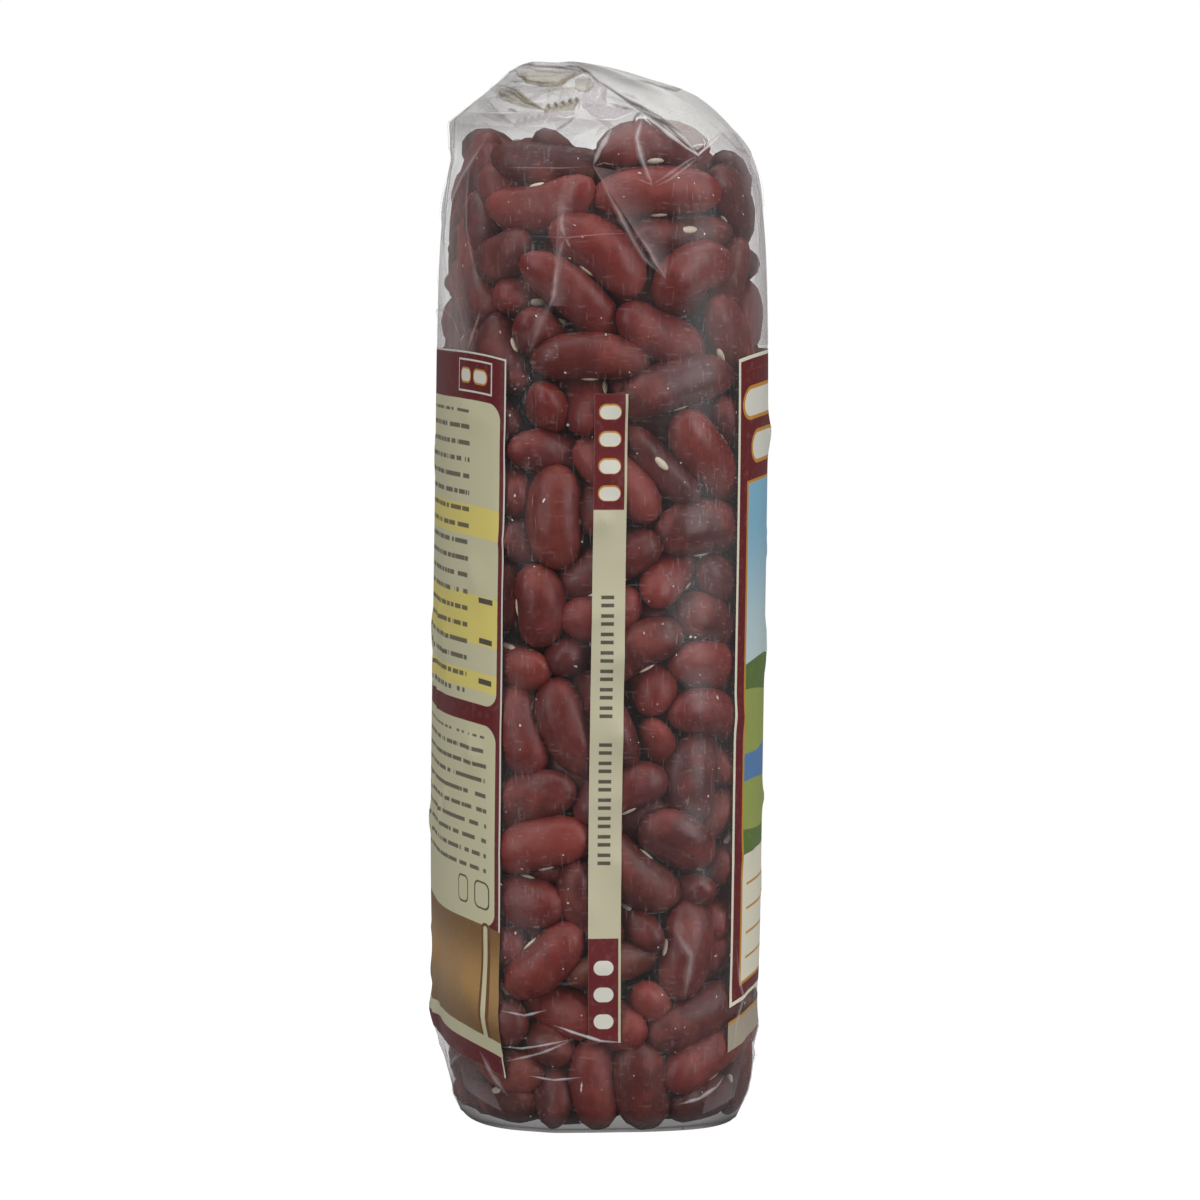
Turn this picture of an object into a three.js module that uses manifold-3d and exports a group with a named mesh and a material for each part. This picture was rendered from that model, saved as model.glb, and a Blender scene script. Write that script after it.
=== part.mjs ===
// A clear film bag of dried kidney beans, standing on its flat base.
// The printed panels stay smooth, the beans show as relief where the film is clear, and the film
// above the beans closes in a tent with tucked ends and a folded ridge.
// Units are millimetres, Z is up, the front panel faces -Y, and the origin is the middle of the base.

import * as THREE from "three";
import { mergeVertices } from "three/addons/utils/BufferGeometryUtils.js";
import Module from "manifold-3d";

// Driving sizes of the filled bag
const BAG_WIDTH = 90;
const BAG_DEPTH = 54.8;
const BAG_HEIGHT = 175;
const SHOULDER_HEIGHT = 160;

// The walls' form: how square a level section is, how far the wall draws in at base and shoulder,
// and how far the body leans from the back panel at its foot to the front panel at its head
const SQUARENESS = 3.3;
const BASE_DRAW_IN = 4.3;
const BASE_REACH = 10;
const SHOULDER_DRAW_IN = 2.6;
const SHOULDER_REACH = 10;
const LEAN = 0.6;
const LEAN_FROM = 25;
const LEAN_TO = 140;

// The closed top: a folded ridge that stands nearer to the back panel
const RIDGE_FRONT_Y = 1.6;
const RIDGE_BACK_Y = 13.9;
const RIDGE_HALF_WIDTH = 36;
const FRONT_CURL = 1.6;
const BACK_SLOPE_START = 0.42;
const TUCK_DEPTH = 0.24;
const PLEAT_DEPTH = 0.7;
const PLEAT_COUNT = 11;
const RIDGE_SAG = 0.9;

// The beans, and how deep they lie in the bed between them
const BEAN_LENGTH = 17;
const BEAN_WIDTH = 9.4;
const BEAN_THICKNESS = 6.8;
const BEAN_BEND = 1.5;
const BEAN_COUNT = 200;
const BED_DEPTH = 2.9;
const BEAN_SIZE_SPREAD = 0.12;
const BEAN_TOP_DEPTH = 0.5;
const LOWEST_BEAN = 5.2;
const HIGHEST_BEAN = 157.5;
const LARGEST_LEAN = 1.4;
const FLAT_ROLL = 0.25;
const EDGEWISE_ROLL = 0.9;
const EDGEWISE_SHARE = 0.2;

// How the beans settle: rounds of pushing apart, and how far one push moves and turns a bean
const SETTLING_ROUNDS = 160;
const PUSH_SHARE = 0.16;
const TURN_SHARE = 0.2;
const LOBE_REACH = (BEAN_LENGTH - BEAN_WIDTH) / 2;
const FARTHEST_NEIGHBOUR = 1.2 * BEAN_LENGTH;

// The printed areas of the film: heights, and how far they reach round the corners onto the sides
const LABEL_TOP = 128;
const FRONT_LABEL_BOTTOM = 22.8;
const BACK_LABEL_BOTTOM = 11.8;
const FOOT_BAND = { bottom: 15.6, top: 20.4 };
const LABEL_EDGE_Y = 19;
const SIDE_STRIP = { bottom: 15.2, top: 120.8, width: 5.4, middle: 1.5 };
const PRINT_DEPTH = 4.2;
const LABEL_COLUMNS = 14;
const HIDDEN_MARGIN = 6.1;
const PANEL_HALF_WIDTH = 34;

// The soft waves that the beans press into a printed panel: height, and turns around and up the bag
const PRINT_SWELL = 0.3;
const SWELL_WAVES = [
  { around: 9.7, up: 0.11 },
  { around: -7.3, up: 0.43 },
];

// How finely the bed between the beans is divided: columns around it, and the heights of its rings
const BED_COLUMNS = 36;
const BASE_RINGS = [0, 1.5, 4, 8, 13];
const BODY_RINGS = { bottom: 26, top: 150, steps: 6 };
const CROWN_RINGS = [156, 158.5, 161.5, 164, 166.5, 169, 171, 172.8, 174.1, BAG_HEIGHT];

const wasm = await Module();
wasm.setup();

// A repeatable random number from 0 to 1
let seed = 20417;
function random() {
  seed = (seed * 1664525 + 1013904223) % 4294967296;
  return seed / 4294967296;
}

// How far the wall stands in from its widest place at a height
function drawIn(height) {
  const base = BASE_DRAW_IN * Math.exp(-height / BASE_REACH);
  const shoulder = SHOULDER_DRAW_IN * Math.exp((height - SHOULDER_HEIGHT) / SHOULDER_REACH);
  return base + shoulder;
}

// The level section of the film at a height: front and back wall, half width and end tuck
function sectionAt(height) {
  const wall = drawIn(Math.min(height, SHOULDER_HEIGHT));
  const halfDepth = BAG_DEPTH / 2 - wall;
  const halfWidth = BAG_WIDTH / 2 - wall;
  const rise = Math.max(0, (height - SHOULDER_HEIGHT) / (BAG_HEIGHT - SHOULDER_HEIGHT));
  const curl = 1 - Math.pow(1 - Math.pow(rise, FRONT_CURL), 1 / FRONT_CURL);
  const slope = Math.max(0, (rise - BACK_SLOPE_START) / (1 - BACK_SLOPE_START));
  const leaning = THREE.MathUtils.clamp((height - LEAN_FROM) / (LEAN_TO - LEAN_FROM), 0, 1);
  const lean = LEAN * Math.cos(Math.PI * leaning);
  const front = THREE.MathUtils.lerp(lean - halfDepth, RIDGE_FRONT_Y, curl);
  const back = THREE.MathUtils.lerp(lean + halfDepth, RIDGE_BACK_Y, slope);
  return {
    middle: (front + back) / 2,
    halfDepth: (back - front) / 2,
    halfWidth: THREE.MathUtils.lerp(halfWidth, RIDGE_HALF_WIDTH, curl),
    tuck: TUCK_DEPTH * rise,
    rise,
  };
}

// A power that keeps the sign, for the rounded-square section
function signedPower(value, power) {
  return Math.sign(value) * Math.pow(Math.abs(value), power);
}

// A point of the film at an angle and height, moved inwards by a depth
function filmPoint(angle, height, depth = 0) {
  const section = sectionAt(height);
  const across = signedPower(Math.cos(angle), 2 / SQUARENESS);
  const along = signedPower(Math.sin(angle), 2 / SQUARENESS);
  const pleat = 1 + (PLEAT_DEPTH * section.rise * Math.sin(PLEAT_COUNT * angle)) / RIDGE_HALF_WIDTH;
  const tuck = 1 - section.tuck * Math.pow(1 - along * along, 2);
  return new THREE.Vector3(
    (section.halfWidth - depth) * across * tuck * pleat,
    section.middle + (section.halfDepth - depth) * along,
    height,
  );
}

// Angles that lie evenly along the section's perimeter, from one angle to another
const ANGLE_STEPS = 720;
function evenAngles(from, to, steps) {
  const lengths = [0];
  const angleOf = (i) => from + ((to - from) * i) / ANGLE_STEPS;
  for (let i = 1; i <= ANGLE_STEPS; i += 1) {
    const step = filmPoint(angleOf(i), BAG_HEIGHT / 2).distanceTo(filmPoint(angleOf(i - 1), BAG_HEIGHT / 2));
    lengths.push(lengths[i - 1] + step);
  }
  const angles = [];
  let i = 0;
  for (let step = 0; step <= steps; step += 1) {
    const target = (lengths[ANGLE_STEPS] * step) / steps;
    while (i < ANGLE_STEPS - 1 && lengths[i + 1] < target) i += 1;
    angles.push(angleOf(i + (target - lengths[i]) / (lengths[i + 1] - lengths[i])));
  }
  return angles;
}

// Evenly spaced heights, both ends included
function evenHeights(bottom, top, steps) {
  return Array.from({ length: steps + 1 }, (_, i) => bottom + ((top - bottom) * i) / steps);
}

// A geometry from points and triangles
function indexedGeometry(points, triangles) {
  const geometry = new THREE.BufferGeometry().setFromPoints(points);
  geometry.setIndex(triangles);
  return geometry;
}

// A closed geometry as a solid that can be joined and cut
function solidOf(geometry) {
  const bare = geometry.clone();
  bare.deleteAttribute("normal");
  bare.deleteAttribute("uv");
  const merged = mergeVertices(bare, 1e-4);
  return new wasm.Manifold(
    new wasm.Mesh({
      numProp: 3,
      vertProperties: merged.getAttribute("position").array,
      triVerts: new Uint32Array(merged.index.array),
    }),
  );
}

// A solid back as a geometry with flat faces
function geometryOf(solid) {
  const mesh = solid.getMesh();
  const geometry = new THREE.BufferGeometry();
  geometry.setAttribute("position", new THREE.BufferAttribute(mesh.vertProperties, 3));
  geometry.setIndex(new THREE.BufferAttribute(mesh.triVerts, 1));
  geometry.computeVertexNormals();
  return geometry;
}

// The film's form from base to ridge, drawn in between the beans on the body and full size at the top
function bagCore() {
  const angles = evenAngles(0, 2 * Math.PI, BED_COLUMNS).slice(0, -1);
  const bodyRings = evenHeights(BODY_RINGS.bottom, BODY_RINGS.top, BODY_RINGS.steps);
  const heights = [...BASE_RINGS, ...bodyRings, ...CROWN_RINGS];
  const bedAt = (height) => {
    const foot = THREE.MathUtils.smoothstep(height, 0, LOWEST_BEAN);
    const head = 1 - THREE.MathUtils.smoothstep(height, CROWN_RINGS[0], SHOULDER_HEIGHT);
    return BED_DEPTH * foot * head;
  };
  const rings = heights.map((height) => angles.map((angle) => filmPoint(angle, height, bedAt(height))));
  const ridgeMiddle = (RIDGE_FRONT_Y + RIDGE_BACK_Y) / 2;
  const ridge = new THREE.Vector3(0, ridgeMiddle, BAG_HEIGHT - RIDGE_SAG);
  const points = [...rings.flat(), new THREE.Vector3(), ridge];
  const count = angles.length;
  const base = points.length - 2;
  const triangles = [];
  for (let j = 0; j < count; j += 1) {
    const next = (j + 1) % count;
    for (let i = 0; i < rings.length - 1; i += 1) {
      const low = i * count;
      const high = low + count;
      triangles.push(low + j, low + next, high + next, low + j, high + next, high + j);
    }
    const last = (rings.length - 1) * count;
    triangles.push(base, next, j, base + 1, last + j, last + next);
  }
  return solidOf(indexedGeometry(points, triangles));
}

// The soft swelling that the beans press into a printed panel
function swell(angle, height) {
  const waves = SWELL_WAVES.map(({ around, up }) => Math.sin(around * angle + up * height));
  return (PRINT_SWELL * (waves[0] + waves[1])) / 2;
}

// One printed area: a curved slab whose outer face is the taut film
function printedArea(fromAngle, toAngle, bottom, top, columns, rows) {
  const angles = evenAngles(fromAngle, toAngle, columns);
  const heights = evenHeights(bottom, top, rows);
  const width = columns + 1;
  const outer = heights.flatMap((h) => angles.map((a) => filmPoint(a, h, PRINT_SWELL - swell(a, h))));
  const inner = heights.flatMap((h) => angles.map((a) => filmPoint(a, h, PRINT_DEPTH)));
  const shift = outer.length;
  const triangles = [];
  const quad = (a, b, c, d) => triangles.push(a, b, c, a, c, d);
  for (let i = 0; i < rows; i += 1) {
    for (let j = 0; j < columns; j += 1) {
      const low = i * width + j;
      const high = low + width;
      quad(low, low + 1, high + 1, high);
      quad(shift + low, shift + high, shift + high + 1, shift + low + 1);
    }
  }
  for (let j = 0; j < columns; j += 1) {
    const last = rows * width + j;
    quad(j, shift + j, shift + j + 1, j + 1);
    quad(last, last + 1, shift + last + 1, shift + last);
  }
  for (let i = 0; i < rows; i += 1) {
    const left = i * width;
    const right = left + columns;
    quad(left, left + width, shift + left + width, shift + left);
    quad(right, shift + right, shift + right + width, right + width);
  }
  return solidOf(indexedGeometry([...outer, ...inner], triangles));
}

// The angle of the film's wall at which it stands at a given Y, on the left or right side
function angleAtY(y, side) {
  const section = sectionAt(BAG_HEIGHT / 2);
  const sine = signedPower((y - section.middle) / section.halfDepth, SQUARENESS / 2);
  const angle = Math.asin(sine);
  return side === "right" ? angle : Math.PI - angle;
}

// All printed areas: both labels, the band under the front label, and a strip down each side
function printedAreas() {
  const frontFrom = angleAtY(-LABEL_EDGE_Y, "left");
  const frontTo = 2 * Math.PI + angleAtY(-LABEL_EDGE_Y, "right");
  const backFrom = angleAtY(LABEL_EDGE_Y, "right");
  const backTo = angleAtY(LABEL_EDGE_Y, "left");
  const stripLow = SIDE_STRIP.middle - SIDE_STRIP.width / 2;
  const stripHigh = SIDE_STRIP.middle + SIDE_STRIP.width / 2;
  const { bottom, top } = SIDE_STRIP;
  return [
    printedArea(frontFrom, frontTo, FRONT_LABEL_BOTTOM, LABEL_TOP, LABEL_COLUMNS, 10),
    printedArea(frontFrom, frontTo, FOOT_BAND.bottom, FOOT_BAND.top, LABEL_COLUMNS, 1),
    printedArea(backFrom, backTo, BACK_LABEL_BOTTOM, LABEL_TOP, LABEL_COLUMNS, 11),
    printedArea(angleAtY(stripLow, "right"), angleAtY(stripHigh, "right"), bottom, top, 1, 10),
    printedArea(angleAtY(stripHigh, "left"), angleAtY(stripLow, "left"), bottom, top, 1, 10),
  ];
}

// One kidney bean, long in X, its belly towards -Y, flat in Z
function kidneyBean(size) {
  const geometry = new THREE.SphereGeometry(1, 6, 5);
  geometry.rotateZ(Math.PI / 2);
  const position = geometry.getAttribute("position");
  for (let i = 0; i < position.count; i += 1) {
    const x = position.getX(i);
    const bend = BEAN_BEND * (1 / 3 - x * x);
    position.setXYZ(
      i,
      (x * size * BEAN_LENGTH) / 2,
      (position.getY(i) * size * BEAN_WIDTH) / 2 + bend,
      (position.getZ(i) * size * BEAN_THICKNESS) / 2,
    );
  }
  return geometry;
}

// The film's outward direction beside a point
function outwardAt(point) {
  const section = sectionAt(point.z);
  const across = point.x / section.halfWidth;
  const along = (point.y - section.middle) / section.halfDepth;
  return new THREE.Vector3(
    signedPower(across, SQUARENESS - 1) / section.halfWidth,
    signedPower(along, SQUARENESS - 1) / section.halfDepth,
    0,
  ).normalize();
}

// How far out a point stands, as a share of the way from the bag's middle to the wall at a depth
function shareOut(point, depth) {
  const section = sectionAt(point.z);
  const across = Math.abs(point.x / (section.halfWidth - depth));
  const along = Math.abs((point.y - section.middle) / (section.halfDepth - depth));
  return Math.pow(Math.pow(across, SQUARENESS) + Math.pow(along, SQUARENESS), 1 / SQUARENESS);
}

// Moves a point level onto the wall, at a depth under the film
function ontoWall(point, depth) {
  const share = shareOut(point, depth);
  const { middle } = sectionAt(point.z);
  point.x /= share;
  point.y = middle + (point.y - middle) / share;
}

// The direction of a bean's length, which lies against the film and leans up from level
function beanAxis(bean) {
  const outward = outwardAt(bean.centre);
  const level = Math.cos(bean.lean);
  return new THREE.Vector3(-outward.y * level, outward.x * level, Math.sin(bean.lean));
}

// The middles of the three lobes that stand for a bean while the beans settle
function beanLobes(bean) {
  const axis = beanAxis(bean);
  return [-1, 0, 1].map((end) => bean.centre.clone().addScaledVector(axis, end * LOBE_REACH * bean.size));
}

// Pushes two beans apart wherever their lobes overlap, and turns them a little as it does
function pushApart(first, second, firstLobes, secondLobes) {
  const room = (BEAN_WIDTH * (first.size + second.size)) / 2;
  firstLobes.forEach((firstLobe, i) => {
    secondLobes.forEach((secondLobe, j) => {
      const apart = firstLobe.clone().sub(secondLobe);
      const overlap = room - apart.length();
      if (overlap <= 0) return;
      const push = apart.normalize().multiplyScalar(overlap * PUSH_SHARE);
      first.centre.add(push);
      second.centre.sub(push);
      first.lean += push.z * TURN_SHARE * (i - 1);
      second.lean -= push.z * TURN_SHARE * (j - 1);
    });
  });
}

// Beans against the film, spread evenly and then pushed apart until they lie side by side
function packedBeans() {
  const depth = BEAN_THICKNESS / 2;
  const goldenStep = (Math.sqrt(5) - 1) / 2;
  const angles = evenAngles(0, 2 * Math.PI, ANGLE_STEPS);
  const beans = Array.from({ length: BEAN_COUNT }, (_, i) => {
    const angle = angles[Math.floor(ANGLE_STEPS * ((i * goldenStep) % 1))];
    const height = THREE.MathUtils.lerp(LOWEST_BEAN, HIGHEST_BEAN, (i + 0.5) / BEAN_COUNT);
    return {
      centre: filmPoint(angle, height, depth),
      lean: (2 * random() - 1) * LARGEST_LEAN,
      roll: random() < EDGEWISE_SHARE ? EDGEWISE_ROLL : (2 * random() - 1) * FLAT_ROLL,
      size: 1 + (2 * random() - 1) * BEAN_SIZE_SPREAD,
    };
  });
  for (let round = 0; round < SETTLING_ROUNDS; round += 1) {
    const lobes = beans.map(beanLobes);
    beans.forEach((first, a) => {
      for (let b = a + 1; b < beans.length; b += 1) {
        if (first.centre.distanceTo(beans[b].centre) > FARTHEST_NEIGHBOUR) continue;
        pushApart(first, beans[b], lobes[a], lobes[b]);
      }
    });
    for (const bean of beans) {
      const rise = LOBE_REACH * bean.size * Math.abs(Math.sin(bean.lean));
      bean.centre.z = THREE.MathUtils.clamp(bean.centre.z, LOWEST_BEAN + rise, HIGHEST_BEAN - rise / 2);
      ontoWall(bean.centre, depth);
    }
  }
  return beans;
}

// True if a bean lies wholly under print, where it can't be seen
function underPrint(centre) {
  const bottom = centre.y < 0 ? FRONT_LABEL_BOTTOM : BACK_LABEL_BOTTOM;
  const behindLabel = Math.abs(centre.y) > LABEL_EDGE_Y || Math.abs(centre.x) < PANEL_HALF_WIDTH;
  return behindLabel && centre.z > bottom + HIDDEN_MARGIN && centre.z < LABEL_TOP - HIDDEN_MARGIN;
}

// One bean as a solid in its place
function placedBean(bean) {
  const outward = outwardAt(bean.centre);
  const axis = beanAxis(bean);
  const cross = new THREE.Vector3().crossVectors(outward, axis);
  const turned = new THREE.Matrix4().makeBasis(axis, cross, outward);
  const geometry = kidneyBean(bean.size);
  geometry.rotateX(bean.roll);
  geometry.applyMatrix4(turned);
  geometry.translate(bean.centre.x, bean.centre.y, bean.centre.z);
  const position = geometry.getAttribute("position");
  let outermost = 0;
  for (let i = 0; i < position.count; i += 1) {
    const share = shareOut(new THREE.Vector3().fromBufferAttribute(position, i), BEAN_TOP_DEPTH);
    outermost = Math.max(outermost, share);
  }
  const inwards = (1 - outermost) * Math.hypot(bean.centre.x, bean.centre.y);
  geometry.translate(outward.x * inwards, outward.y * inwards, 0);
  return solidOf(geometry);
}

// The whole bag as one solid, centred over its base
function beanBag() {
  const beans = packedBeans().filter((bean) => !underPrint(bean.centre));
  let solid = bagCore();
  for (const piece of [...beans.map(placedBean), ...printedAreas()]) {
    solid = solid.add(piece);
  }
  const geometry = geometryOf(solid);
  geometry.computeBoundingBox();
  const middle = geometry.boundingBox.getCenter(new THREE.Vector3());
  geometry.translate(-middle.x, -middle.y, -geometry.boundingBox.min.z);
  return geometry;
}

const film = new THREE.MeshStandardMaterial({
  name: "clear film over red beans",
  color: 0x6e3230,
  roughness: 0.32,
  metalness: 0,
});

const bag = new THREE.Group();
const beanBagMesh = new THREE.Mesh(beanBag(), film);
beanBagMesh.name = "bean_bag";
bag.add(beanBagMesh);

export default bag;
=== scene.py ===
"""A sealed bag of clear film, filled with dried red kidney beans, standing on its flattened base."""
import math

import bpy
import numpy as np
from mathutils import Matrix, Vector
from mathutils.bvhtree import BVHTree


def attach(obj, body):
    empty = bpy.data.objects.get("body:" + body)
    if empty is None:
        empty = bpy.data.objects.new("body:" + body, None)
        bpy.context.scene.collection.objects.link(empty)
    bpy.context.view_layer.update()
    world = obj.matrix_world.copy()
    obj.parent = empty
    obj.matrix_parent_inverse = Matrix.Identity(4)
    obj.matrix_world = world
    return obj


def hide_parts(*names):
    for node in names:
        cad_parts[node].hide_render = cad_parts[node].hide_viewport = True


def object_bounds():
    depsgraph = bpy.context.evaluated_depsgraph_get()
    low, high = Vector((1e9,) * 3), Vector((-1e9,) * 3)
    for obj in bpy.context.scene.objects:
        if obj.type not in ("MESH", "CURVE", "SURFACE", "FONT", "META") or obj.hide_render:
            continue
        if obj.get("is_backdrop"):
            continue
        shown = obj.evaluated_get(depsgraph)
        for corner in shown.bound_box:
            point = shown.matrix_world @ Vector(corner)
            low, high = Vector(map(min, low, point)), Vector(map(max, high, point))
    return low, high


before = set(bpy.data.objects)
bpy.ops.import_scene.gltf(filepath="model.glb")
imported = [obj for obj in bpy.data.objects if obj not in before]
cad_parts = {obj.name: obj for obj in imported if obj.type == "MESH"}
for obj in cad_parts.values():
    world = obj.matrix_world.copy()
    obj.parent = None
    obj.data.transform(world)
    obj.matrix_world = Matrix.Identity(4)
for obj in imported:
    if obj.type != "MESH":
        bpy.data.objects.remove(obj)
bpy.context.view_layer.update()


# The bag's form
# The filled bag is a rounded square in every level section. It draws in at the base and at the
# shoulder, and above the beans the film slopes in to a ridge that stands nearer to the back panel.
# Lengths are in millimetres until a mesh is made from them.
MM = 0.001
BAG_WIDTH = 90.0
BAG_DEPTH = 54.8
BAG_HEIGHT = 175.0
SHOULDER_HEIGHT = 160.0
SQUARENESS = 3.3
BASE_DRAW_IN = 4.3
BASE_REACH = 10.0
SHOULDER_DRAW_IN = 2.6
SHOULDER_REACH = 10.0
LEAN = 0.6
LEAN_FROM = 25.0
LEAN_TO = 140.0
RIDGE_FRONT_Y = 1.6
RIDGE_BACK_Y = 13.9
RIDGE_HALF_WIDTH = 36.0
FRONT_CURL = 1.6
BACK_SLOPE_START = 0.42
TUCK_DEPTH = 0.24
PLEAT_DEPTH = 0.7
PLEAT_COUNT = 11
SLOPE_STEP = 0.25
TINY = 1e-9
SMALLEST_SHARE = 1e-12

# How far the crown's front stands back from the plain curve, at some heights
FRONT_TRIM_HEIGHTS = [158.0, 160.6, 162.0, 164.5, 166.0, 168.4, 169.7, 171.0, 172.3, 175.0]
FRONT_TRIM = [0.0, 0.4, 0.8, 1.2, 1.0, 0.5, 0.2, 0.8, 2.4, 3.4]


def section_at(height):
    """Middle, half depth, half width and rise of the film's level section at each height."""
    height = np.asarray(height, float)
    low = np.minimum(height, SHOULDER_HEIGHT)
    wall = BASE_DRAW_IN * np.exp(-low / BASE_REACH)
    wall = wall + SHOULDER_DRAW_IN * np.exp((low - SHOULDER_HEIGHT) / SHOULDER_REACH)
    rise = np.clip((height - SHOULDER_HEIGHT) / (BAG_HEIGHT - SHOULDER_HEIGHT), 0, 1)
    curl = 1 - (1 - rise ** FRONT_CURL) ** (1 / FRONT_CURL)
    slope = np.clip((rise - BACK_SLOPE_START) / (1 - BACK_SLOPE_START), 0, 1)
    half_depth = BAG_DEPTH / 2 - wall
    lean = LEAN * np.cos(math.pi * np.clip((height - LEAN_FROM) / (LEAN_TO - LEAN_FROM), 0, 1))
    front = (lean - half_depth) * (1 - curl) + RIDGE_FRONT_Y * curl
    front = front + np.interp(height, FRONT_TRIM_HEIGHTS, FRONT_TRIM)
    back = (lean + half_depth) * (1 - slope) + RIDGE_BACK_Y * slope
    half_width = (BAG_WIDTH / 2 - wall) * (1 - curl) + RIDGE_HALF_WIDTH * curl
    return (front + back) / 2, (back - front) / 2, half_width, rise


def signed_power(value, power):
    """A power that keeps the sign, for the rounded-square section."""
    return np.sign(value) * np.abs(value) ** power


def film_point(angle, height, depth=0.0):
    """Points of the film at angles and heights, moved level inwards by a depth."""
    middle, half_depth, half_width, rise = section_at(height)
    across = signed_power(np.cos(angle), 2 / SQUARENESS)
    along = signed_power(np.sin(angle), 2 / SQUARENESS)
    pleat = 1 + PLEAT_DEPTH * rise * np.sin(PLEAT_COUNT * angle) / RIDGE_HALF_WIDTH
    tuck = 1 - TUCK_DEPTH * rise * (1 - along ** 2) ** 2
    x = (half_width - depth) * across * tuck * pleat
    y = middle + (half_depth - depth) * along
    return np.stack(np.broadcast_arrays(x, y, height), -1)


def share_out(points):
    """How far out each point stands, as a share of the way from the bag's middle to the film."""
    middle, half_depth, half_width, rise = section_at(points[..., 2])
    along = np.abs((points[..., 1] - middle) / half_depth)
    tuck = 1 - TUCK_DEPTH * rise * (1 - np.minimum(along, 1) ** 2) ** 2
    across = np.abs(points[..., 0] / (half_width * tuck)) ** SQUARENESS
    along = along ** SQUARENESS
    return (across + along + SMALLEST_SHARE) ** (1 / SQUARENESS)


def room_inside(points):
    """Distance to the film, and the film's outward direction, for points inside the bag."""
    share = share_out(points)
    slopes = []
    for step in SLOPE_STEP * np.eye(3):
        slopes.append((share_out(points + step) - share_out(points - step)) / (2 * SLOPE_STEP))
    slopes = np.stack(slopes, -1)
    steepness = np.linalg.norm(slopes, axis=-1) + TINY
    return (1 - share) / steepness, slopes / steepness[..., None]


# The beans
# About five hundred grams of dried kidney beans, poured in loose and held by the film. While they
# settle each is three rounded lobes: the lobes push each other apart, the film holds them in, and
# their weight closes gaps. One bean is then shaped and repeated in every settled place.
BEAN_COUNT = 889
BEAN_LENGTH = 17.5
BEAN_WIDTH = 8.9
BEAN_THICKNESS = 7.0
BEAN_BEND = 0.9
BEND_SPREAD = 0.45
END_FULLNESS = 2.7
BELLY_DENT = 0.13
DENT_REACH = 0.4
BELLY_SHADE_REACH = 0.3
BEAN_SPREAD = np.array([0.2, 0.09, 0.08])
SIZE_SCATTER = 0.6
SIZE_SCATTER_MOST = 1.2
BEND_SCATTER_RANGE = (-1.6, 2.0)

# How the beans are poured in and settle
POUR_FROM = 5.0
POUR_RANGE = 159.5
POUR_BELOW_SHOULDER = 6.0
POUR_OFF_FILM = 5.0
UPRIGHT_SHARE = 0.55
SETTLING_ROUNDS = 470
NEIGHBOUR_ROUNDS = 12
NEIGHBOUR_REACH = 21.5
LOBE_REACH = 10.2
SMALLEST_GAP = 1e-6
LOBE_FIT = 0.96
END_LOBE_SIZE = 0.93
PUSH_SHARE = 0.36
HOLD_SHARE = 0.8
HEAP_SHARE = 0.5
TURN_INERTIA = 20.0
MOST_TURN = 0.12
MOST_SHIFT = 1.2
CALM_END = 2.2
FILM_GAP = 0.15
BY_FILM_FROM = 3.5
BY_FILM_REACH = 5.0
FALL_PER_ROUND = 0.06
PULL_TO_FILM = 0.06
FLATTEN_TO_FILM = 0.03
TURN_ALONG_FILM = 0.04
LIE_DOWN = 0.005

# The top of the heap at some places across the bag's depth, and the room that is left behind the
# film of the panels, which grows towards the top
HEAP_ACROSS = [-27.0, -13.0, -5.0, 3.0, 10.0, 27.0]
HEAP_LIMIT = [157.4, 165.0, 168.2, 165.2, 168.0, 168.0]
PANEL_GAP = 0.35
TOP_GAP = 0.9
TOP_GAP_FROM = 118.0
TOP_GAP_REACH = 22.0
SIDE_FACING = 0.7
SIDE_FADE = 0.25

dice = np.random.default_rng(31)
size_scatter = dice.normal(0, SIZE_SCATTER, (BEAN_COUNT, 3))
bean_size = 1 + BEAN_SPREAD * np.clip(size_scatter, -SIZE_SCATTER_MOST, SIZE_SCATTER_MOST)
bend_scatter = dice.normal(0, 1, BEAN_COUNT)
bean_bend = BEAN_BEND + BEND_SPREAD * np.clip(bend_scatter, *BEND_SCATTER_RANGE)
reach = (BEAN_LENGTH - BEAN_WIDTH) / 2
lobe_place = np.array([[-reach, 0, 0], [0, 0, 0], [reach, 0, 0]])
lobe_bend = np.array([-0.66, 0.33, -0.66])
lobe_half = np.array([BEAN_WIDTH, BEAN_WIDTH, BEAN_THICKNESS]) / 2
end_lobe = [1.0, END_LOBE_SIZE, END_LOBE_SIZE]
lobe_half = np.array([end_lobe, [1.0, 1.0, 1.0], end_lobe]) * lobe_half


def poured_beans():
    """Random first places and turns, spread through the bag up to its fill."""
    angle = dice.uniform(0, 2 * math.pi, BEAN_COUNT)
    height = POUR_FROM + POUR_RANGE * (np.arange(BEAN_COUNT) + 0.5) / BEAN_COUNT
    inwards = np.sqrt(dice.uniform(0, 1, BEAN_COUNT))
    outline_height = np.minimum(height, SHOULDER_HEIGHT - POUR_BELOW_SHOULDER)
    outline = film_point(angle, outline_height, POUR_OFF_FILM)
    centre = np.column_stack([outline[:, 0] * inwards, outline[:, 1] * inwards, height])
    length_way = dice.normal(0, 1, (BEAN_COUNT, 3)) * [1.0, 1.0, UPRIGHT_SHARE]
    width_way = dice.normal(0, 1, (BEAN_COUNT, 3))
    return centre, square_up(np.stack([length_way, width_way, width_way], 1))


def square_up(turn):
    """The three directions of each bean, made square to each other again."""
    first = turn[:, 0] / np.linalg.norm(turn[:, 0], axis=1, keepdims=True)
    second = turn[:, 1] - first * np.sum(turn[:, 1] * first, 1, keepdims=True)
    second /= np.linalg.norm(second, axis=1, keepdims=True)
    return np.stack([first, second, np.cross(first, second)], 1)


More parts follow.
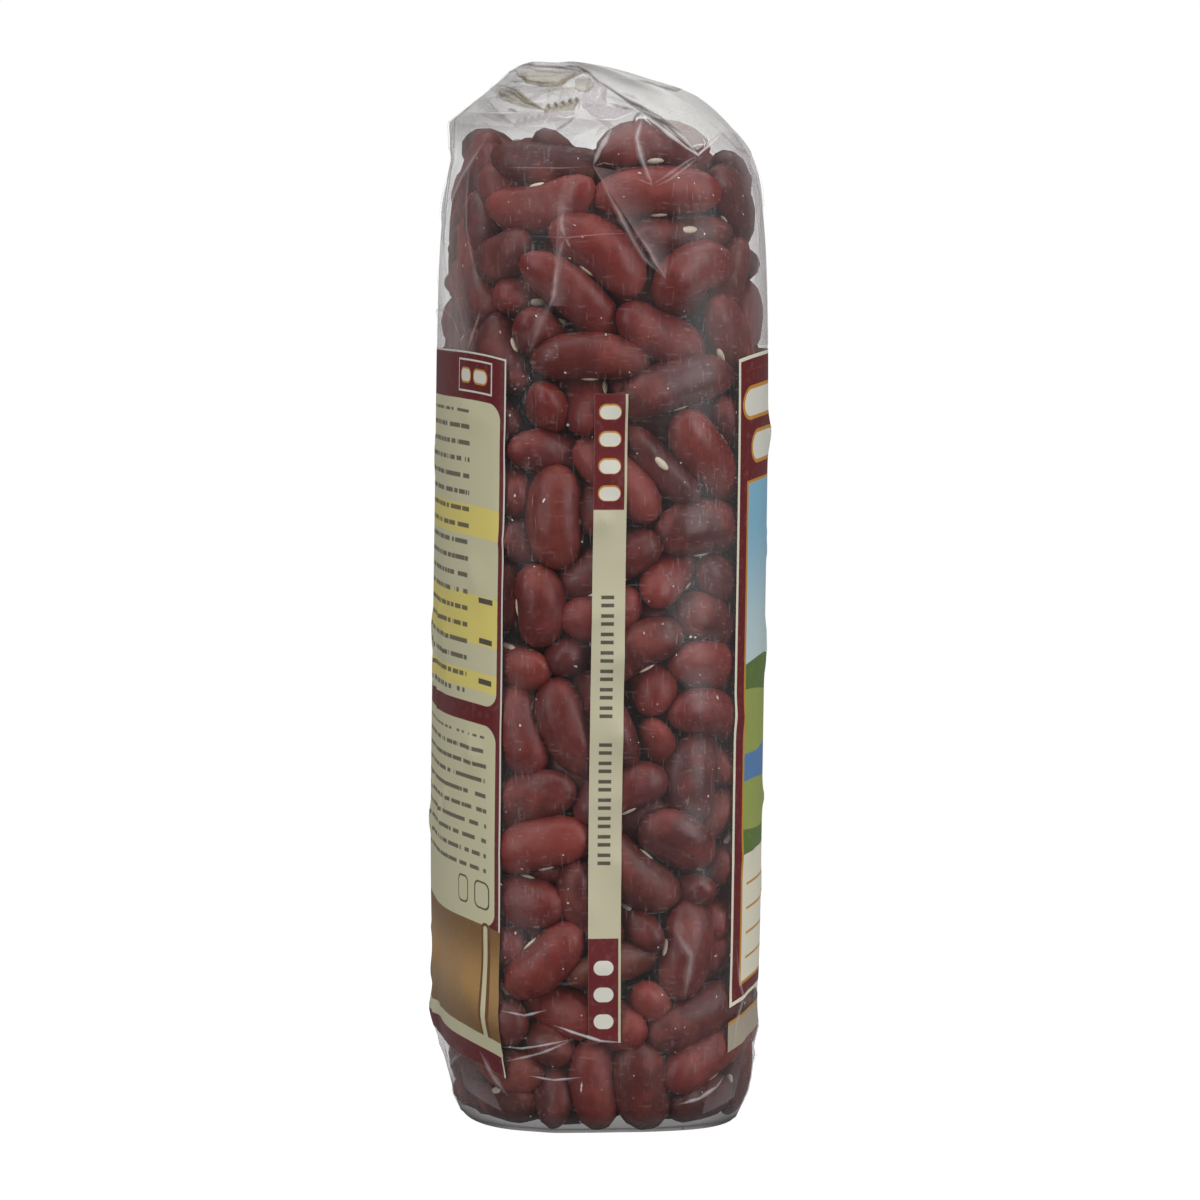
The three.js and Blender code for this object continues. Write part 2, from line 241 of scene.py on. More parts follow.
def reach_along(half, turn, way):
    """How far a lobe reaches along a direction, and the point where it reaches that far."""
    parts = np.einsum("kij,kj->ki", turn, way)
    reach_out = np.linalg.norm(half * parts, axis=1) + TINY
    touch = np.einsum("ki,kij->kj", half ** 2 * parts / reach_out[:, None], turn)
    return reach_out, touch


def lobe_pairs(centre):
    """Every pair of lobes of two beans that lie near each other."""
    apart = np.linalg.norm(centre[:, None] - centre[None], axis=2)
    one, other = np.nonzero(np.triu(apart < NEIGHBOUR_REACH, 1))
    lobe = np.arange(3)
    first = np.repeat(3 * one[:, None] + lobe, 3, axis=1)
    second = np.tile(3 * other[:, None] + lobe, 3)
    return first.ravel(), second.ravel()


def settle_beans():
    """Places and turns of the beans once they lie against each other and the film."""
    centre, turn = poured_beans()
    half = lobe_half[None] * bean_size[:, None, :]
    place = lobe_place[None] * bean_size[:, None, :]
    place[..., 1] += bean_bend[:, None] * lobe_bend
    bean_of_lobe = np.repeat(np.arange(BEAN_COUNT), 3)
    half_flat = half.reshape(-1, 3)
    for settling_round in range(SETTLING_ROUNDS):
        offset = np.einsum("nki,nij->nkj", place, turn)
        lobes = (centre[:, None] + offset).reshape(-1, 3)
        offset = offset.reshape(-1, 3)
        lobe_turn = np.repeat(turn, 3, axis=0)

        # Lobes that overlap push each other apart
        if settling_round % NEIGHBOUR_ROUNDS == 0:
            first, second = lobe_pairs(centre)
        gap = lobes[first] - lobes[second]
        distance = np.linalg.norm(gap, axis=1)
        near = distance < LOBE_REACH
        i, j = first[near], second[near]
        way = gap[near] / (distance[near][:, None] + SMALLEST_GAP)
        reach_i, touch_i = reach_along(half_flat[i], lobe_turn[i], way)
        reach_j, touch_j = reach_along(half_flat[j], lobe_turn[j], way)
        overlap = LOBE_FIT * (reach_i + reach_j) - distance[near]
        hit = overlap > 0
        i, j = i[hit], j[hit]
        push = way[hit] * (overlap[hit] * PUSH_SHARE * 0.5)[:, None]
        shift = np.zeros((BEAN_COUNT, 3))
        spin = np.zeros((BEAN_COUNT, 3))
        np.add.at(shift, bean_of_lobe[i], push)
        np.add.at(shift, bean_of_lobe[j], -push)
        np.add.at(spin, bean_of_lobe[i], np.cross(offset[i] - touch_i[hit], push))
        np.add.at(spin, bean_of_lobe[j], np.cross(offset[j] + touch_j[hit], -push))

        # The film holds the lobes in
        room, outward = room_inside(lobes)
        reach_film, touch_film = reach_along(half_flat, lobe_turn, outward)
        by_panel = 1 - np.clip((np.abs(outward[:, 0]) - SIDE_FACING) / SIDE_FADE, 0, 1)
        high_up = np.clip((lobes[:, 2] - TOP_GAP_FROM) / TOP_GAP_REACH, 0, 1)
        inside = reach_film + FILM_GAP + by_panel * (PANEL_GAP + TOP_GAP * high_up) - room
        held = -outward * (np.maximum(inside, 0) * HOLD_SHARE)[:, None]
        np.add.at(shift, bean_of_lobe, held)
        np.add.at(spin, bean_of_lobe, np.cross(offset + touch_film, held))

        # The base lifts them, and the top of the heap presses them down
        down = np.tile([0.0, 0.0, -1.0], (len(lobes), 1))
        reach_floor, touch_floor = reach_along(half_flat, lobe_turn, down)
        sunk = np.maximum(reach_floor + FILM_GAP - lobes[:, 2], 0) * HOLD_SHARE
        heap_top = np.interp(lobes[:, 1], HEAP_ACROSS, HEAP_LIMIT)
        sunk -= np.maximum(lobes[:, 2] + reach_floor - heap_top, 0) * HEAP_SHARE
        lift = -down * sunk[:, None]
        np.add.at(shift, bean_of_lobe, lift)
        np.add.at(spin, bean_of_lobe, np.cross(offset + touch_floor, lift))

        # Beans sink and lie down, and those by the film turn flat against it
        ending = min(1.0, CALM_END * (1 - (settling_round + 1) / SETTLING_ROUNDS))
        room_mid = room.reshape(-1, 3)[:, 1]
        by_film = np.clip(1 - (room_mid - BY_FILM_FROM) / BY_FILM_REACH, 0, 1)[:, None]
        outward_mid = outward.reshape(-1, 3, 3)[:, 1]
        flat_side = np.sign(np.sum(turn[:, 2] * outward_mid, 1))[:, None]
        facing = np.cross(turn[:, 2], outward_mid) * flat_side
        shift += outward_mid * by_film * PULL_TO_FILM * ending
        shift[:, 2] -= FALL_PER_ROUND * ending
        level = turn[:, 0] * [1.0, 1.0, 0.0]
        spin = spin / TURN_INERTIA + facing * by_film * FLATTEN_TO_FILM * ending
        spin += np.cross(turn[:, 0], level) * LIE_DOWN * ending
        outwards = np.sum(turn[:, 0] * outward_mid, 1)[:, None] * outward_mid
        spin -= np.cross(turn[:, 0], outwards) * by_film * TURN_ALONG_FILM * ending
        spin *= np.minimum(1, MOST_TURN / (np.linalg.norm(spin, axis=1, keepdims=True) + TINY))
        shift *= np.minimum(1, MOST_SHIFT / (np.linalg.norm(shift, axis=1, keepdims=True) + TINY))
        centre = centre + shift
        turn = square_up(turn + np.cross(spin[:, None], turn))
    return centre, turn


bean_centre, bean_turn = settle_beans()


def shaped_mesh(name, points, faces):
    """A smooth mesh object in its place, from points in millimetres."""
    mesh = bpy.data.meshes.new(name)
    faces = [[int(corner) for corner in face] for face in faces]
    mesh.from_pydata((np.asarray(points) * MM).tolist(), [], faces)
    mesh.shade_smooth()
    piece = bpy.data.objects.new(name, mesh)
    bpy.context.scene.collection.objects.link(piece)
    return piece


def unit_shape(operator, **options):
    """Points and faces of a primitive that an operator adds, which is then removed."""
    bpy.ops.object.select_all(action="DESELECT")
    operator(**options)
    shape = bpy.context.active_object
    points = np.array([vertex.co for vertex in shape.data.vertices])
    faces = [tuple(polygon.vertices) for polygon in shape.data.polygons]
    bpy.ops.object.delete()
    return points, faces


def shape_copies(count, points, faces):
    """Faces of a shape that is repeated a number of times, one copy's points after the other's."""
    return [[corner + n * len(points) for corner in face] for n in range(count) for face in faces]


def add_layer(piece, label, values):
    """A named value at each point of a piece, for its material."""
    layer = piece.data.attributes.new(label, "FLOAT", "POINT")
    layer.data.foreach_set("value", np.asarray(values).astype(np.float32))


ball, ball_faces = unit_shape(
    bpy.ops.mesh.primitive_uv_sphere_add,
    segments=12,
    ring_count=9,
    radius=1,
)
end_way = ball[:, 2]
roundness = np.hypot(ball[:, 0], ball[:, 1])
bulge = np.sqrt(1 - np.abs(end_way) ** END_FULLNESS)
off_axis = np.maximum(roundness, SMALLEST_GAP)
fullness = np.where(roundness > SMALLEST_GAP, bulge / off_axis, 0)
belly_side = ball[:, 0] * fullness
belly_dent = 1 - BELLY_DENT * np.exp(-(end_way / DENT_REACH) ** 2) * (belly_side < 0)
bean_shape = np.column_stack([
    end_way * BEAN_LENGTH / 2,
    belly_side * belly_dent * BEAN_WIDTH / 2,
    ball[:, 1] * fullness * BEAN_THICKNESS / 2,
])
# Painted shade: how much the skin is darkened in the belly's hollow beside the scar
bean_belly_shade = np.exp(-(end_way / BELLY_SHADE_REACH) ** 2) * np.clip(-belly_side, 0, 1)

local = bean_shape[None] * bean_size[:, None, :]
local[..., 1] += bean_bend[:, None] * (1 / 3 - end_way ** 2)
bean_points = bean_centre[:, None] + np.einsum("nvi,nij->nvj", local, bean_turn)
below_film = np.maximum(FILM_GAP - bean_points[..., 2].min(axis=1), 0)
bean_points[..., 2] += below_film[:, None]
bean_centre[:, 2] += below_film
bean_faces = shape_copies(BEAN_COUNT, ball, ball_faces)
beans = shaped_mesh("dried_beans", bean_points.reshape(-1, 3), bean_faces)
add_layer(beans, "bean_tone", np.repeat(dice.uniform(0, 1, BEAN_COUNT), len(ball)))
add_layer(beans, "painted_belly_shade", np.tile(bean_belly_shade, BEAN_COUNT))


class Nodes:
    """Short ways to place and join the nodes of one material or node group."""

    def __init__(self, tree):
        self.tree = tree

    def add(self, kind, **settings):
        node = self.tree.nodes.new(kind)
        for key, value in settings.items():
            setattr(node, key, value)
        return node

    def feed(self, socket, value):
        """Joins an output to a socket, or sets the socket's own value."""
        if isinstance(value, bpy.types.NodeSocket):
            self.tree.links.new(value, socket)
        else:
            socket.default_value = value

    def math(self, operation, first, second=0.0, third=0.0, clamp=False):
        node = self.add("ShaderNodeMath", operation=operation, use_clamp=clamp)
        for socket, value in zip(node.inputs, (first, second, third)):
            self.feed(socket, value)
        return node.outputs[0]

    def noise(self, coordinates, scale, detail=3.0, roughness=0.5, distortion=0.0):
        node = self.add("ShaderNodeTexNoise")
        self.feed(node.inputs["Vector"], coordinates)
        node.inputs["Scale"].default_value = scale
        node.inputs["Detail"].default_value = detail
        node.inputs["Roughness"].default_value = roughness
        node.inputs["Distortion"].default_value = distortion
        return node.outputs["Fac"]

    def stretched(self, coordinates, scale):
        node = self.add("ShaderNodeMapping")
        self.feed(node.inputs["Vector"], coordinates)
        node.inputs["Scale"].default_value = scale
        return node.outputs["Vector"]

    def fade(self, value, low, high, bottom=0.0, top=1.0):
        """A smooth step of a value from low to high."""
        node = self.add("ShaderNodeMapRange", interpolation_type="SMOOTHSTEP")
        self.feed(node.inputs["Value"], value)
        ends = {"From Min": low, "From Max": high, "To Min": bottom, "To Max": top}
        for label, number in ends.items():
            node.inputs[label].default_value = number
        return node.outputs["Result"]

    def mix(self, share, first, second):
        node = self.add("ShaderNodeMix", data_type="RGBA")
        self.feed(node.inputs["Factor"], share)
        self.feed(node.inputs["A"], first)
        self.feed(node.inputs["B"], second)
        return node.outputs["Result"]

    def bump(self, height, distance, strength=1.0):
        node = self.add("ShaderNodeBump")
        self.feed(node.inputs["Height"], height)
        node.inputs["Distance"].default_value = distance
        node.inputs["Strength"].default_value = strength
        return node.outputs["Normal"]

    def object_coordinates(self):
        return self.add("ShaderNodeTexCoord").outputs["Object"]

    def layer(self, label, output="Fac"):
        """A named value or colour of the piece's points."""
        return self.add("ShaderNodeAttribute", attribute_name=label).outputs[output]

    def axes(self, coordinates):
        """The X, Y and Z of some coordinates, by name."""
        node = self.add("ShaderNodeSeparateXYZ")
        self.feed(node.inputs[0], coordinates)
        return node.outputs


def new_material(name):
    """An empty material's nodes and its Principled shader."""
    material = bpy.data.materials.new(name)
    material.use_nodes = True
    nodes = Nodes(material.node_tree)
    return material, nodes, material.node_tree.nodes["Principled BSDF"]


def rgb(red, green, blue):
    """A colour given in the screen's own 0 to 255 steps, as linear light."""
    linear = []
    for step in (red, green, blue):
        share = step / 255
        linear.append(share / 12.92 if step <= 10 else ((share + 0.055) / 1.055) ** 2.4)
    return (*linear, 1.0)


SKIN_DARK = rgb(76, 25, 22)
SKIN_RED = rgb(115, 36, 31)
SKIN_LIGHT = rgb(148, 68, 58)
SKIN_PURPLE = rgb(86, 34, 38)
SKIN_BROWN = rgb(142, 82, 58)
SKIN_CLOUD_SCALE = 190.0
SKIN_SWELLING_SCALE = 260.0
SKIN_SWELLING_HEIGHT = 0.0004
SKIN_STREAK_SCALE = 620.0
KIND_SPREAD = 23.0
material, nodes, shader = new_material("dried bean skin")
where = nodes.object_coordinates()
tone_of_bean = nodes.layer("bean_tone")
belly_shade = nodes.layer("painted_belly_shade")
cloud = nodes.noise(where, SKIN_CLOUD_SCALE, 3.0)
swelling = nodes.noise(where, SKIN_SWELLING_SCALE, 1.0)
skin = nodes.mix(nodes.fade(tone_of_bean, 0.1, 0.95), SKIN_DARK, SKIN_RED)
kind = nodes.math("FRACT", nodes.math("MULTIPLY", tone_of_bean, KIND_SPREAD))
skin = nodes.mix(nodes.fade(kind, 0.3, 0.0, 0.0, 0.6), skin, SKIN_PURPLE)
skin = nodes.mix(nodes.fade(kind, 0.86, 1.0, 0.0, 0.3), skin, SKIN_BROWN)
skin = nodes.mix(nodes.fade(cloud, 0.42, 0.75, 0.0, 0.5), skin, SKIN_LIGHT)
streak = nodes.noise(where, SKIN_STREAK_SCALE, 3.0, 0.65)
skin = nodes.mix(nodes.fade(streak, 0.48, 0.72, 0.0, 0.45), skin, SKIN_DARK)
skin = nodes.mix(nodes.fade(tone_of_bean, 0.9, 1.0, 0.0, 0.4), skin, SKIN_LIGHT)
# Painted shade: the skin is darker in the belly's hollow beside the scar
skin = nodes.mix(nodes.math("MULTIPLY", belly_shade, 0.5), skin, SKIN_DARK)
nodes.feed(shader.inputs["Base Color"], skin)
nodes.feed(shader.inputs["Roughness"], nodes.fade(cloud, 0.3, 0.75, 0.38, 0.58))
shader.inputs["Specular IOR Level"].default_value = 0.4
nodes.feed(shader.inputs["Normal"], nodes.bump(swelling, SKIN_SWELLING_HEIGHT))
beans.data.materials.append(material)
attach(beans, "root")
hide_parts("bean_bag")


# The scars on the beans
# Each bean has one pale oval scar in the hollow of its belly, where it hung in the pod. It is a
# small low dome, shaped once and set into every bean.
SCAR_LENGTH = 3.3
SCAR_WIDTH = 1.3
SCAR_RISE = 0.45
SCAR_SINK = 0.12
SCAR_TAN = rgb(196, 176, 150)
SCAR_CREAM = rgb(236, 228, 208)
SCAR_SPECKLE_SCALE = 1500.0
dot, dot_faces = unit_shape(
    bpy.ops.mesh.primitive_uv_sphere_add,
    segments=10,
    ring_count=6,
    radius=1,
)
scar_shape = dot[:, [0, 2, 1]] * [SCAR_LENGTH / 2, SCAR_RISE, SCAR_WIDTH / 2]
belly_y = -BEAN_WIDTH / 2 * (1 - BELLY_DENT) * bean_size[:, 1] + bean_bend / 3
local = np.repeat(scar_shape[None], BEAN_COUNT, axis=0)
local[..., 1] += belly_y[:, None] + SCAR_SINK
scar_points = bean_centre[:, None] + np.einsum("nvi,nij->nvj", local, bean_turn)
scar_faces = shape_copies(BEAN_COUNT, dot, dot_faces)
scars = shaped_mesh("bean_scars", scar_points.reshape(-1, 3), scar_faces)

material, nodes, shader = new_material("pale bean scar")
speckle = nodes.noise(nodes.object_coordinates(), SCAR_SPECKLE_SCALE, 2.0)
nodes.feed(shader.inputs["Base Color"], nodes.mix(speckle, SCAR_TAN, SCAR_CREAM))
shader.inputs["Roughness"].default_value = 0.7
scars.data.materials.append(material)
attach(scars, "root")


# The clear film
# One closed sheet of thin clear film. It lies on the outermost beans, dips a little between them,
# and stands free above them as a tent. It rises slightly along the creases that pull at it.
AROUND = 320
BASE_RINGS = 8
WALL_RINGS = 196
CROWN_RINGS = 40
CAP_RINGS = 7
DEEPEST_DIP = 1.3
PANEL_DIP = 0.25
BEAN_CLEARANCE = 0.2
FIRST_REACH = 5
PULL_IN = 0.006
FILM_ROUNDS = 160
CREASE_REACH = 1.3
CREASE_RISE = 0.3
FREE_FROM = 140.0
FREE_REACH = 26.0
FREE_BLUR_ROUNDS = 12
RIDGE_SAG = 0.9
BASE_ARCH = 0.5
BASE_SHADOW_REACH = 3.0
TOUCH_REACH = 0.3
CROWN_BUNCHING = 1.7
RAY_START = 1.0
JUST_INSIDE = (0.999, 0.999, 1.0)
DIP_TOP = SHOULDER_HEIGHT + 4
STANDS_FREE_FROM = SHOULDER_HEIGHT - 5
STANDS_FREE_REACH = 7.0
BASE_TAUT_REACH = 3.0
PALE_BLEND = 1.2

fine_angle = np.linspace(0, 2 * math.pi, 4001)
fine_point = film_point(fine_angle, BAG_HEIGHT / 2)
fine_length = np.concatenate([[0], np.cumsum(np.linalg.norm(np.diff(fine_point, axis=0), axis=1))])
GIRTH = fine_length[-1]


def angle_at(share):
    """The section's angle at a share of the way round the girth, from the +X side."""
    return np.interp(np.mod(share, 1.0) * GIRTH, fine_length, fine_angle)


ring_total = BASE_RINGS + WALL_RINGS + CROWN_RINGS + CAP_RINGS
ball, ball_faces = unit_shape(
    bpy.ops.mesh.primitive_uv_sphere_add,
    segments=AROUND,
    ring_count=ring_total,
    radius=1,
)
way_down = np.arccos(np.clip(ball[:, 2], -1, 1)) / math.pi
way_round = np.arctan2(ball[:, 1], ball[:, 0]) / (2 * math.pi)
ring_of = np.rint((1 - way_down) * ring_total).astype(int)
column_of = np.rint(way_round * AROUND).astype(int) % AROUND
film_angle = angle_at(np.arange(AROUND) / AROUND)

wall_heights = SHOULDER_HEIGHT * np.arange(WALL_RINGS + 1) / WALL_RINGS
crown_share = (np.arange(CROWN_RINGS) + 1) / CROWN_RINGS
crown_rise = 1 - (1 - crown_share) ** CROWN_BUNCHING
crown_heights = SHOULDER_HEIGHT + (BAG_HEIGHT - SHOULDER_HEIGHT) * crown_rise
tube_heights = np.concatenate([wall_heights, crown_heights])

angle_grid, height_grid = np.meshgrid(film_angle, tube_heights)
taut = film_point(angle_grid, height_grid)
_, outward_grid = room_inside(taut * JUST_INSIDE)
outward_grid[..., 2] = 0
outward_grid /= np.linalg.norm(outward_grid, axis=-1, keepdims=True)

bean_tree = BVHTree.FromPolygons(bean_points.reshape(-1, 3).tolist(), bean_faces)
bean_depth = np.full(height_grid.shape, DEEPEST_DIP + RAY_START)
for i in np.nonzero(tube_heights <= DIP_TOP)[0]:
    for j in range(AROUND):
        outward = Vector(outward_grid[i, j])
        start = Vector(taut[i, j] + RAY_START * outward_grid[i, j])
        distance = bean_tree.ray_cast(start, -outward, DEEPEST_DIP + RAY_START)[3]
        if distance is not None:
            bean_depth[i, j] = distance - RAY_START

# The film first lies straight over the beans near each point, and is then drawn in between them
free_above = np.clip((height_grid - STANDS_FREE_FROM) / STANDS_FREE_REACH, 0, 1)
on_side = np.abs(outward_grid[..., 0]) > SIDE_FACING
side_share = np.clip((np.abs(outward_grid[..., 0]) - SIDE_FACING) / SIDE_FADE, 0, 1)
most_dip = PANEL_DIP + (DEEPEST_DIP - PANEL_DIP) * side_share
most_dip = most_dip * (1 - free_above) * np.clip(height_grid / BASE_TAUT_REACH, 0.1, 1)
limit = np.minimum(bean_depth - BEAN_CLEARANCE, most_dip)
film_depth = limit.copy()
for _ in range(FIRST_REACH):
    for axis in (0, 1):
        beside = np.minimum(np.roll(film_depth, 1, axis), np.roll(film_depth, -1, axis))
        film_depth = np.minimum(film_depth, beside)
for _ in range(FILM_ROUNDS):
    around = (np.roll(film_depth, 1, 1) + np.roll(film_depth, -1, 1)) / 2
    upright = np.empty_like(film_depth)
    upright[1:-1] = (film_depth[2:] + film_depth[:-2]) / 2
    upright[0] = film_depth[1]
    upright[-1] = 0
    film_depth = np.minimum(limit, (around + upright) / 2 + PULL_IN)

# Where the film lies on a bean, and where it stands a little off it
touching = np.clip(1.5 - (bean_depth - BEAN_CLEARANCE - film_depth) / TOUCH_REACH, 0, 1)
